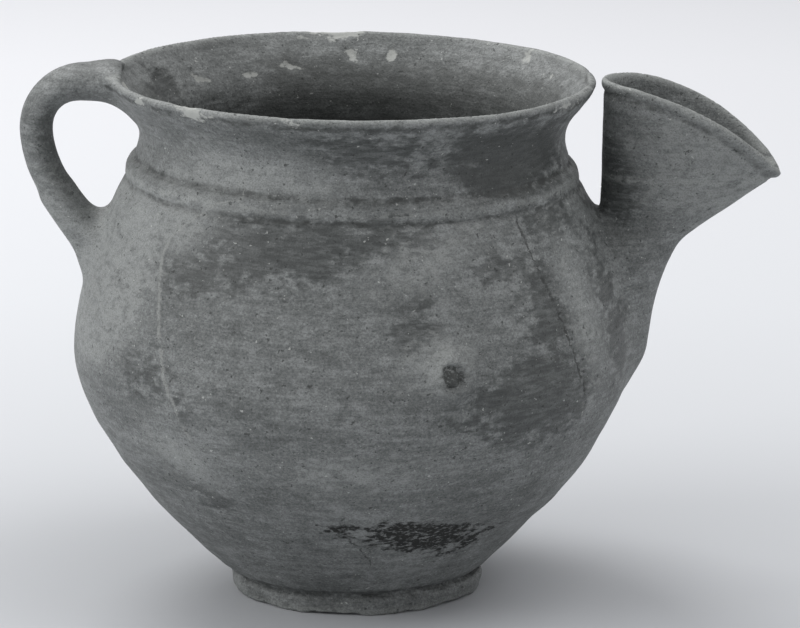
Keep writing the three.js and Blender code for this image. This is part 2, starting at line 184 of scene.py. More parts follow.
class TurnedField:
    """Signed distance to a closed outline turned about Z, kept as a table of radius and height."""

    SPACING = 0.5
    REACH = 125.0
    BOTTOM = -10.0
    TOP = 200.0

    def __init__(self, outline: np.ndarray) -> None:
        """Measures the table.

        Args:
            outline: points of radius and height. A stretch that lies on the axis is no surface.
        """
        radii = np.arange(0.0, self.REACH, self.SPACING)
        heights = np.arange(self.BOTTOM, self.TOP, self.SPACING)
        radius, height = np.meshgrid(radii, heights, indexing="ij")
        nearest = np.full(radius.shape, np.inf)
        inside = np.zeros(radius.shape, bool)
        for start, end in zip(outline, np.roll(outline, -1, axis=0)):
            edge = end - start
            if edge @ edge == 0 or (start[0] == 0 and end[0] == 0):
                continue
            share = ((radius - start[0]) * edge[0] + (height - start[1]) * edge[1]) / (edge @ edge)
            share = np.clip(share, 0.0, 1.0)
            gap = np.hypot(radius - start[0] - share * edge[0], height - start[1] - share * edge[1])
            nearest = np.minimum(nearest, gap)
            if edge[1] != 0:
                crossing = start[0] + (height - start[1]) * edge[0] / edge[1]
                level = (start[1] > height) != (end[1] > height)
                inside ^= level & (radius < crossing)
        self.table = np.where(inside, -nearest, nearest)

    def at(self, radius: np.ndarray, height: np.ndarray) -> np.ndarray:
        """Returns the distance in mm at each radius and height."""
        u = np.clip(radius / self.SPACING, 0.0, self.table.shape[0] - 1.001)
        v = np.clip((height - self.BOTTOM) / self.SPACING, 0.0, self.table.shape[1] - 1.001)
        i, j = u.astype(int), v.astype(int)
        u, v = u - i, v - j
        low = self.table[i, j] * (1 - u) + self.table[i + 1, j] * u
        high = self.table[i, j + 1] * (1 - u) + self.table[i + 1, j + 1] * u
        return low * (1 - v) + high * v


@dataclass
class TurnedBody:
    """The wheel-turned body: base, belly, shoulder, band, neck and lip. Lengths in mm."""

    waist_radius: float = 42.3
    base_radius: float = 45.6
    base_height: float = 8.1
    lower_slope: float = 43.3
    lower_pull: float = 21.6
    belly_radius: float = 97.8
    belly_height: float = 85.8
    belly_pull: float = 25.3
    shoulder_radius: float = 79.0
    shoulder_height: float = 146.0
    shoulder_slope: float = 25.7
    shoulder_pull: float = 47.8
    band_height: float = 7.6
    band_crest_radius: float = 78.7
    band_top_radius: float = 75.8
    neck_radius: float = 73.8
    neck_height: float = 162.3
    lip_radius: float = 84.8
    lip_thickness: float = 4.0
    lip_flare: float = 40.0
    lip_pull: float = 6.0
    rim_height: float = 182.6
    band_tilt: float = 0.017
    rim_tilt: float = 0.013
    tilt_start: float = 116.0
    body_wall: float = 6.0
    neck_wall: float = 5.0
    floor_height: float = 14.9
    wall: TurnedField = field(init=False)
    cavity: TurnedField = field(init=False)

    def __post_init__(self) -> None:
        """Measures the wall and the hollow inside it."""
        outer, inner, lip = self.outer_outline(), self.inner_outline(), self.lip_edge()
        base = [[0.0, self.base_height / 2], [self.waist_radius, self.base_height / 2]]
        closed = np.vstack([base, outer, lip, inner[::-1], [[0.0, self.floor_height]]])
        self.wall = TurnedField(closed)
        above = [[inner[-1][0] - 1.0, self.rim_height], [inner[-1][0] - 1.0, 199.0], [0.0, 199.0]]
        self.cavity = TurnedField(np.vstack([[[0.0, self.floor_height]], inner, above]))

    @property
    def band_top(self) -> float:
        """Returns the height of the groove above the band."""
        return self.shoulder_height + self.band_height

    def lip_centre(self) -> np.ndarray:
        """Returns the middle of the lip's round edge as radius and height."""
        half = self.lip_thickness / 2
        return np.array([self.lip_radius - half, self.rim_height - half])

    def body_outline(self) -> np.ndarray:
        """Returns the outside of the body from the crease above the foot to the shoulder's top."""
        base = np.array([self.base_radius, self.base_height])
        belly = np.array([self.belly_radius, self.belly_height])
        shoulder = np.array([self.shoulder_radius, self.shoulder_height])
        lower_end = belly - [0.0, self.belly_pull]
        lower = bezier(base, base + heading(self.lower_slope) * self.lower_pull, lower_end, belly, 40)
        shoulder_pull = shoulder - heading(90 + self.shoulder_slope) * self.shoulder_pull
        upper = bezier(belly, belly + [0.0, 2.0], shoulder_pull, shoulder, 32)
        crease = [[self.waist_radius, self.base_height - 1.2]]
        return np.vstack([crease, lower, upper[1:]])

    def neck_outline(self) -> np.ndarray:
        """Returns the outside of the band and the neck up to the lip."""
        seat = np.array([self.shoulder_radius - 0.3, self.shoulder_height + 0.3])
        crest = np.array([self.band_crest_radius, self.shoulder_height + self.band_height * 0.36])
        top = np.array([self.band_top_radius, self.band_top])
        waist = np.array([self.neck_radius, self.neck_height])
        lip = self.lip_centre() + heading(-self.lip_flare) * self.lip_thickness / 2
        swell = bezier(seat, seat + [1.2, 0.2], crest - [0.0, 1.8], crest, 6)
        fall = bezier(crest, crest + [0.0, 2.6], top + [1.0, -1.2], top, 8)
        low = bezier(top, top + [-0.9, 1.6], waist - [0.0, 4.0], waist, 8)
        flare = lip - heading(90 - self.lip_flare) * self.lip_pull
        high = bezier(waist, waist + [0.0, self.lip_pull], flare, lip, 16)
        return np.vstack([swell, fall[1:], low[1:], high[1:]])

    def outer_outline(self) -> np.ndarray:
        """Returns the whole outside from the crease above the foot to the lip."""
        return np.vstack([self.body_outline(), self.neck_outline()])

    def lip_edge(self) -> np.ndarray:
        """Returns the lip's round edge from its outer side over the crest to its inner side."""
        angles = np.radians(-self.lip_flare + np.linspace(15.0, 180.0, 12))
        turn = np.stack([np.cos(angles), np.sin(angles)], axis=1)
        return self.lip_centre() + turn * self.lip_thickness / 2

    def inner_outline(self) -> np.ndarray:
        """Returns the inside from the floor up to the lip."""
        outer = np.vstack([self.body_outline()[1:], self.neck_outline()[14:]])
        along = np.gradient(outer, axis=0)
        along /= np.linalg.norm(along, axis=1)[:, None]
        thinning = smoothstep(self.shoulder_height, self.neck_height, outer[:, 1])
        lipward = smoothstep(self.neck_height, self.rim_height - 2.0, outer[:, 1])
        thickness = self.body_wall + (self.neck_wall - self.body_wall) * thinning
        thickness += (self.lip_thickness - self.neck_wall) * lipward
        inner = outer - np.stack([along[:, 1], -along[:, 0]], axis=1) * thickness[:, None]
        inner = inner[:-1][inner[:-1, 1] > self.floor_height + 6.0]
        corner = np.array([inner[0][0] - 8.0, self.floor_height])
        turn = bezier([corner[0] - 14.0, corner[1]], corner, corner + [4.0, 2.0], inner[0], 8)
        return np.vstack([turn[:-1], inner])

    def upright(self, points: np.ndarray) -> tuple[np.ndarray, np.ndarray]:
        """Undoes the droop of the band and the rim towards the spout.

        Args:
            points: N positions in mm.

        Returns:
            The radius of each, and the height it would have on a level jar.
        """
        x, y, z = points.T
        levels = [self.tilt_start, self.shoulder_height, self.band_top, self.rim_height]
        droop = np.interp(z, levels, [0.0, self.band_tilt, self.band_tilt, self.rim_tilt])
        return np.hypot(x, y), z + droop * x


@dataclass
class FootDisc:
    """The flat disc that the jar stands on."""

    radius: float = 44.5
    height: float = 6.6
    edge_round: float = 1.6
    off_centre: float = 1.2

    def distance(self, points: np.ndarray) -> np.ndarray:
        """Returns the distance from each point to the disc, in mm."""
        x, y, z = points.T
        across = np.hypot(x - self.off_centre, y) - self.radius + self.edge_round
        up = np.abs(z - self.height / 2) - self.height / 2 + self.edge_round
        outside = np.hypot(np.maximum(across, 0), np.maximum(up, 0))
        return outside + np.minimum(np.maximum(across, up), 0) - self.edge_round


@dataclass
class StrapHandle:
    """The strap, bent in one plane and pressed on at the rim and the shoulder."""

    thickness: float = 11.6
    width: float = 18.0
    crest: tuple[float, float] = (-92.6, 180.1)
    bend: tuple[float, float] = (-109.6, 163.5)
    root: tuple[float, float] = (-88.7, 125.0)
    root_angle: float = 47.5
    lip_seat: tuple[float, float] = (-72.0, 175.2)
    seat_drop: float = 8.0
    seat_depth: float = 12.8
    pointed: float = 1.75
    rim_swell: float = 0.2
    swell_start: float = 42.0
    swell_end: float = 16.0
    wad_top: tuple[float, float] = (-102.6, 139.5)
    wad_end: tuple[float, float] = (-90.2, 119.8)
    wad_radii: tuple[float, float] = (5.3, 5.9)
    line: np.ndarray = field(init=False)
    along: np.ndarray = field(init=False)
    lengths: np.ndarray = field(init=False)

    def __post_init__(self) -> None:
        """Draws the middle line."""
        crest, bend = np.array(self.crest), np.array(self.bend)
        root, seat = np.array(self.root), np.array(self.lip_seat)
        span, fall = np.linalg.norm(crest - bend), np.linalg.norm(bend - root)
        into = heading(-self.root_angle)
        lift = seat + heading(150) * self.seat_drop
        parts = [
            bezier(seat, lift, crest + [self.seat_drop, 0.0], crest, 24),
            bezier(crest, crest - [span * 0.42, 0.0], bend + [0.0, span * 0.4], bend, 24)[1:],
            bezier(bend, bend - [0.0, fall * 0.364], root - into * fall * 0.36, root, 40)[1:],
            root + into * np.linspace(1.0, self.seat_depth, 12)[:, None],
        ]
        self.line = np.vstack(parts)
        steps = np.gradient(self.line, axis=0)
        self.along = steps / np.linalg.norm(steps, axis=1)[:, None]
        gaps = np.linalg.norm(np.diff(self.line, axis=0), axis=1)
        self.lengths = np.concatenate([[0.0], np.cumsum(gaps)])

    @property
    def length(self) -> float:
        """Returns the length of the middle line in mm."""
        return float(self.lengths[-1])

    def nearest(self, points: np.ndarray) -> tuple[np.ndarray, np.ndarray]:
        """Finds each point's place along the strap.

        Args:
            points: N positions in mm.

        Returns:
            The length along the middle line, and the distance out from it in the strap's plane.
        """
        flat = points[:, [0, 2]]
        best = np.full(len(flat), np.inf)
        place = np.zeros(len(flat), int)
        for i, spot in enumerate(self.line):
            gap = (flat[:, 0] - spot[0]) ** 2 + (flat[:, 1] - spot[1]) ** 2
            nearer = gap < best
            best[nearer] = gap[nearer]
            place[nearer] = i
        away = flat - self.line[place]
        tangent = self.along[place]
        onward = (away * tangent).sum(axis=1)
        outward = away[:, 0] * tangent[:, 1] - away[:, 1] * tangent[:, 0]
        return self.lengths[place] + onward, -outward

    def distance(self, points: np.ndarray) -> np.ndarray:
        """Returns the distance from each point to the strap, in mm."""
        length, out = self.nearest(points)
        n = self.pointed
        swell = 1 + self.rim_swell * smoothstep(self.swell_start, self.swell_end, length)
        half, wide = self.thickness / 2 * swell, self.width / 2 * swell
        u, v = np.abs(out) + 1e-3, np.abs(points[:, 1]) + 1e-3
        size = ((u / half) ** n + (v / wide) ** n) ** (1 / n)
        slope = np.hypot(u ** (n - 1) / half**n, v ** (n - 1) / wide**n) * size ** (1 - n)
        side = (size - 1) / slope
        beyond = np.maximum(np.maximum(-length, length - self.length), 0.0)
        strap = np.where(beyond > 0, np.hypot(np.maximum(side, 0), beyond) + np.minimum(side, 0), side)
        return smooth_union(strap, wad(points, self.wad_top, self.wad_end, self.wad_radii), 4.0)


@dataclass
class FunnelSpout:
    """The spout: a narrow oval funnel with a saddle-shaped mouth over a round throat."""

    mouth: tuple[float, float] = (117.8, 164.2)
    lean: float = 28.0
    mouth_width: float = 69.7
    mouth_depth: float = 43.0
    mouth_lift: float = 7.5
    throat_radius: float = 11.6
    funnel_length: float = 44.0
    wall: float = 4.6
    lip_thickness: float = 2.8
    lip_round: float = 1.2
    lip_bead: float = 0.8
    root_depth: float = 54.5
    bore_reach: float = 24.0
    tail_top: tuple[float, float] = (96.5, 120.0)
    tail_end: tuple[float, float] = (91.9, 89.4)
    tail_radii: tuple[float, float] = (12.8, 9.4)

    def local(self, points: np.ndarray) -> tuple[np.ndarray, np.ndarray, np.ndarray]:
        """Returns each point's depth below the mouth, and its place across and beside the axis."""
        axis, across = heading(90 - self.lean), heading(-self.lean)
        dx, dz = points[:, 0] - self.mouth[0], points[:, 2] - self.mouth[1]
        return -(dx * axis[0] + dz * axis[1]), dx * across[0] + dz * across[1], points[:, 1]

    def openness(self, depth: np.ndarray) -> np.ndarray:
        """Returns 1 at the mouth and 0 in the throat."""
        straight = 1 - depth / self.funnel_length
        return (straight + np.hypot(straight, 0.12)) / 2

    def halves(self, share) -> tuple:
        """Returns half the funnel's width and depth where it is open by a share, in mm."""
        wide = self.throat_radius + (self.mouth_width / 2 - self.throat_radius) * share
        return wide, self.throat_radius + (self.mouth_depth / 2 - self.throat_radius) * share

    def cone(self, points: np.ndarray, inset: np.ndarray) -> np.ndarray:
        """Measures the funnel's oval skin.

        Args:
            points: N positions in mm.
            inset: how far in from the outer face the skin lies at each point.

        Returns:
            The distance out from that skin, in mm.
        """
        depth, u, v = self.local(points)
        open_share = self.openness(depth)
        half_width, half_depth = (half - inset for half in self.halves(open_share))
        size = np.hypot(u / half_width, v / half_depth) + 1e-6
        slope = np.hypot(u / half_width**2, v / half_depth**2) / size + 1e-6
        wide_share = (u / half_width) ** 2 / size**2
        taper = (self.mouth_width / 2 - self.throat_radius) / self.funnel_length
        taper_side = (self.mouth_depth / 2 - self.throat_radius) / self.funnel_length
        fall = taper * wide_share + taper_side * (1 - wide_share)
        fall = fall * smoothstep(0.0, 0.25, open_share)
        return (size - 1) / slope / np.sqrt(1 + fall**2)

    def above_mouth(self, points: np.ndarray) -> np.ndarray:
        """Returns how far each point stands above the saddle of the mouth, in mm."""
        depth, u, v = self.local(points)
        sine = (v / (self.mouth_depth / 2)) ** 2
        sine = sine / (sine + (u / (self.mouth_width / 2)) ** 2 + 1e-6)
        return -(depth + self.mouth_lift * sine)

    def thickness(self, depth: np.ndarray) -> np.ndarray:
        """Returns the wall's thickness at a depth below the mouth."""
        return self.wall + (self.lip_thickness - self.wall) * np.minimum(self.openness(depth), 1.0)

    def outside(self, points: np.ndarray) -> np.ndarray:
        """Returns the distance from each point to the spout as a solid funnel."""
        depth = self.local(points)[0]
        shell = self.cone(points, np.zeros(len(points)))
        shell = np.maximum(shell, depth - self.root_depth - 12.0)
        top = self.above_mouth(points) + self.lip_round
        half = self.thickness(depth) / 2
        bead = np.hypot(shell + half, top) - half - self.lip_bead
        return smooth_union(smooth_cut(shell, -top, 1.5), bead, 1.0)

    def hollow(self, points: np.ndarray) -> np.ndarray:
        """Returns the distance from each point to the funnel's inside and the bore below it."""
        depth = self.local(points)[0]
        inside = self.cone(points, self.thickness(depth))
        return np.maximum(inside, depth - self.root_depth - self.bore_reach)

    def tail(self, points: np.ndarray) -> np.ndarray:
        """Returns the distance from each point to the wad of clay that runs down the belly."""
        return wad(points, self.tail_top, self.tail_end, self.tail_radii)


@dataclass
class BrokenBoss:
    """A pellet pressed on the front of the belly, with its tip broken off."""

    turn: float = 20.4
    height: float = 97.0
    mound_radius: float = 12.5
    mound_rise: float = 4.2
    scar_radius: float = 4.7
    scar_depth: float = 2.8

    def relief(self, points: np.ndarray, body: TurnedBody) -> np.ndarray:
        """Returns how far the mound and its broken top lift the skin at each point, in mm."""
        away = self.away(points, body)
        mound = self.mound_rise * smoothstep(self.mound_radius, self.scar_radius * 0.6, away)
        edge = away + 1.4 * unevenness(points, 2.6, 41)
        broken = smoothstep(self.scar_radius + 0.8, self.scar_radius - 1.2, edge)
        return mound - broken * self.scar_depth * (0.6 + 0.5 * unevenness(points, 2.4, 42))

    def away(self, points: np.ndarray, body: TurnedBody) -> np.ndarray:
        """Returns how far each point is from the pellet's middle, in mm."""
        return np.linalg.norm(points - self.centre(body), axis=1)

    def centre(self, body: TurnedBody) -> np.ndarray:
        """Returns the pellet's middle on the body's skin."""
        outline = body.body_outline()
        reach = float(np.interp(self.height, outline[:, 1], outline[:, 0]))
        turn = math.radians(self.turn)
        return np.array([reach * math.sin(turn), -reach * math.cos(turn), self.height])


class Mark(Enum):
    """What shows on the ware. The mesh keeps each as a gap in mm, which is negative inside it."""

    STAIN = "stain"
    PALE = "pale"
    PITTED = "pitted"
    CHIP = "chip"
    CRACK = "crack"
    MEND = "mend"
    GROOVE = "groove"
    SOOT = "soot"
    WORN = "worn"
    SCAR = "scar"


ARC_RADIUS = 85.0


def arc_between(points: np.ndarray, turn) -> np.ndarray:
    """Returns how far round the wall each point lies from a turn in degrees, in mm."""
    turns = np.degrees(np.arctan2(points[:, 0], -points[:, 1]))
    return np.radians((turns - turn + 180.0) % 360.0 - 180.0) * ARC_RADIUS


@dataclass(frozen=True)
class Spot:
    """An oval on the wall: degrees round from the front towards the spout, the rest in mm."""

    turn: float
    height: float
    half_width: float
    half_height: float
    tilt: float = 0.0

    def gap(self, points: np.ndarray) -> np.ndarray:
        """Returns how far outside the oval each point lies, in mm."""
        across, up = arc_between(points, self.turn), points[:, 2] - self.height
        lean = heading(self.tilt)
        along, beside = across * lean[0] + up * lean[1], up * lean[0] - across * lean[1]
        size = np.hypot(along / self.half_width, beside / self.half_height)
        return (size - 1.0) * min(self.half_width, self.half_height)


@dataclass(frozen=True)
class Ball:
    """A round region in space. Place and radius in mm."""

    place: tuple[float, float, float]
    radius: float

    def gap(self, points: np.ndarray) -> np.ndarray:
        """Returns how far outside the region each point lies, in mm."""
        return np.linalg.norm(points - np.array(self.place), axis=1) - self.radius


@dataclass(frozen=True)
class Seam:
    """A line down the wall through places given as degrees and height, from the top down."""

    places: tuple[tuple[float, float], ...]

    def gap(self, points: np.ndarray) -> np.ndarray:
        """Returns how far beside the line each point lies, in mm, with a sign for the side."""
        turns, heights = np.array(self.places[::-1]).T
        z = points[:, 2]
        aside = arc_between(points, np.interp(z, heights, turns))
        beyond = np.maximum(np.maximum(z - heights[-1], heights[0] - z), 0.0)
        return aside + np.where(aside < 0, -beyond, beyond)


@dataclass(frozen=True)
class Wear:
    """Stains, repairs, cracks and chips, and painted shade and painted highlights, by their places on the
    wall.
    """

    # Darker patches; those on the right of the neck and belly and the one where the spout meets the body
    # are partly painted shade.
    stains_and_shade: tuple[Spot | Ball, ...] = (
        Spot(-16.3, 137.8, 32.0, 12.0, 3.0), Spot(-37.0, 127.2, 14.0, 6.0),
        Spot(11.9, 139.9, 24.0, 6.0, -4.0), Spot(4.6, 169.4, 21.0, 7.5),
        Spot(32.0, 168.9, 16.0, 8.0), Spot(51.0, 163.5, 38.0, 14.0, -3.0),
        Spot(56.0, 141.5, 12.0, 7.0), Spot(45.9, 112.7, 10.0, 12.0), Spot(-46.9, 92.7, 13.0, 5.0, -25.0),
        Spot(-39.8, 55.4, 12.0, 4.0, -38.0), Spot(42.4, 85.6, 26.0, 14.0), Ball((91.0, -6.0, 148.0), 13.0),
        Spot(13.7, 112.5, 6.0, 9.0), Spot(36.4, 128.8, 12.0, 4.0, -8.0), Spot(70.7, 105.3, 8.0, 24.0),
        Spot(-160.0, 118.0, 34.0, 15.0), Spot(140.0, 92.0, 26.0, 20.0), Spot(-120.0, 60.0, 30.0, 9.0),
    )
    pale: tuple[Spot | Ball, ...] = (
        Spot(-29.4, 159.9, 28.0, 8.0), Spot(-46.5, 145.6, 20.0, 12.0, 20.0), Spot(-70.7, 121.6, 34.0, 32.0),
        Spot(16.6, 134.3, 15.0, 5.0, 18.0), Spot(57.6, 109.0, 4.5, 17.0, 4.0), Spot(16.6, 101.1, 8.0, 7.0),
        Spot(-40.4, 65.0, 12.0, 8.0, -30.0), Spot(-41.5, 153.0, 13.0, 9.0), Spot(170.0, 150.0, 26.0, 14.0),
        Spot(-140.0, 84.0, 22.0, 14.0), Ball((121.0, 0.0, 158.0), 27.0), Spot(0.5, 63.2, 20.0, 5.0),
    )
    pitted: tuple[Spot, ...] = (
        Spot(20.0, 35.5, 24.0, 7.0, -5.0), Spot(37.0, 29.5, 10.0, 2.6, 20.0), Spot(-3.0, 40.2, 5.5, 2.0),
    )
    chips: tuple[Spot | Ball, ...] = (
        Spot(-39.4, 181.7, 6.5, 1.6, -4.0), Spot(-58.0, 181.0, 3.0, 1.4), Spot(-13.9, 182.0, 2.4, 1.0),
        Ball((-80.0, -8.0, 178.0), 4.5), Spot(185.0, 182.0, 9.0, 1.6), Spot(180.5, 175.2, 2.4, 1.8, 30.0),
        Spot(169.8, 175.4, 1.4, 1.9), Spot(198.5, 172.4, 2.8, 1.1, 15.0), Spot(212.5, 171.0, 2.0, 0.8),
        Spot(229.5, 171.5, 4.0, 1.2, 24.0), Spot(129.0, 179.0, 2.0, 1.4), Spot(115.0, 175.2, 1.5, 1.2),
        Spot(60.0, 179.5, 5.0, 1.2), Spot(-6.9, 151.6, 0.5, 0.5),
    )
    cracks: tuple[Seam, ...] = (
        Seam(((44.5, 39.8), (40.0, 38.2), (35.6, 36.7))),
        Seam(((45.0, 142.7), (47.5, 122.3), (49.6, 109.8), (52.4, 93.6), (54.7, 84.1))),
        Seam(((-1.8, 38.2), (-0.0, 34.5), (2.7, 31.3), (4.1, 27.5), (6.0, 25.4))),
    )
    mend: Seam = Seam((
        (-28.4, 152.6), (-35.1, 150.8), (-37.9, 147.7), (-43.0, 142.2), (-46.6, 137.5), (-47.8, 131.4),
        (-45.5, 120.6), (-43.0, 108.1), (-40.3, 93.8), (-37.2, 82.5), (-34.7, 72.2),
    ))
    pitted_edge: tuple[float, float] = (0.303, 19.4)
    thumb: Spot = Spot(246.0, 172.0, 10.0, 7.0)
    # The crease above the foot, the band's grooves and a line under the lip: cut into the clay and darkened
    # as painted shade.
    groove_levels: tuple[float, ...] = (7.4, 8.8, 146.2, 154.0, 179.6)
    # Painted shade: the inside of the jar below this height is darkened, except on the lit inner wall at
    # the back left, and so is the right of the neck under the lip.
    shade_below: float = 174.0
    neck_shade: Spot = Spot(46.0, 163.5, 34.0, 11.0, -3.0)
    lit_inside: Spot = Spot(222.0, 170.0, 26.0, 13.0)
    # Painted highlights on the top of the lip, the top of the spout's lip and the band's crest; the pale
    # foot edge below is wear.
    lip_highlight_above: float = 181.7
    spout_lip_highlight: float = -1.0
    crest_highlight: float = 149.4
    worn_foot: float = 1.8
    lip_line: float = 3.5
    mouth_clear: float = 2.5
    spout_clear: float = 1.6
    outer_edge: float = 20.0
    wall_clear: float = 1.2
    wall_edge: float = 4.0
    pitted_cut: float = 2.0
    inner_edge: float = 3.0
    groove_width: float = 0.7
    lip_groove_width: float = 0.5
    crest_width: float = 0.6

    def gaps(
        self, points: np.ndarray, body: TurnedBody, boss: BrokenBoss, spout: FunnelSpout,
    ) -> dict[Mark, np.ndarray]:
        """Measures every mark.

        Args:
            points: N positions in mm.
            body: the wall that the marks are on.
            boss: the broken pellet.
            spout: the spout, whose lip carries a painted highlight.

        Returns:
            For each Mark N gaps in mm.
        """
        radius, height = body.upright(points)
        seams = np.stack([seam.gap(points) for seam in self.cracks])
        nearest = np.abs(seams).argmin(axis=0)
        ring = np.min([np.abs(height - level) for level in self.groove_levels], axis=0)
        inside = body.cavity.at(radius, height)
        in_spout = self.spout_clear - spout.hollow(points)
        outer = self.outer_edge * np.maximum(self.mouth_clear - inside, in_spout)
        off_wall = self.wall_edge * (np.abs(body.wall.at(radius, height)) - self.wall_clear)
        slope, level = self.pitted_edge
        straight = points[:, 2] + slope * points[:, 1] - level
        above = spout.above_mouth(points)
        under_lip = np.maximum(np.abs(above + self.lip_line) - self.lip_groove_width, in_spout)
        stained_and_shaded = np.maximum(self.nearest(self.stains_and_shade, points), outer)
        within_lit_inside = -self.lit_inside.gap(points)
        shaded = [height - self.shade_below, self.inner_edge * inside - self.inner_edge, within_lit_inside]
        return {
            # The thumb hollow inside the rim is darkened as painted shade.
            Mark.STAIN: np.minimum(stained_and_shaded, self.thumb.gap(points)),
            Mark.PALE: np.maximum(self.nearest(self.pale, points), outer),
            Mark.PITTED: np.maximum(self.nearest(self.pitted, points), self.pitted_cut * straight),
            Mark.CHIP: self.nearest(self.chips, points),
            Mark.CRACK: seams[nearest, np.arange(len(points))],
            Mark.MEND: self.mend.gap(points),
            # The grooves and the lines under the lips, darkened as painted shade.
            Mark.GROOVE: np.minimum(
                np.maximum.reduce([ring - self.groove_width, outer, off_wall]), under_lip,
            ),
            # Painted shade inside the jar and on the right of the neck.
            Mark.SOOT: np.minimum(np.maximum.reduce(shaded), self.neck_shade.gap(points)),
            # Painted highlights on the lips and the band's crest, and wear at the foot's edge.
            Mark.WORN: np.minimum.reduce([
                np.maximum(self.lip_highlight_above - height, off_wall),
                self.spout_lip_highlight - above,
                np.maximum(np.abs(height - self.crest_highlight) - self.crest_width, outer),
                points[:, 2] - self.worn_foot,
            ]),
            Mark.SCAR: boss.away(points, body) - boss.scar_radius,
        }

    @staticmethod
    def nearest(spots, points: np.ndarray) -> np.ndarray:
        """Returns the gap from each point to the nearest spot, in mm."""
        return np.min([spot.gap(points) for spot in spots], axis=0)


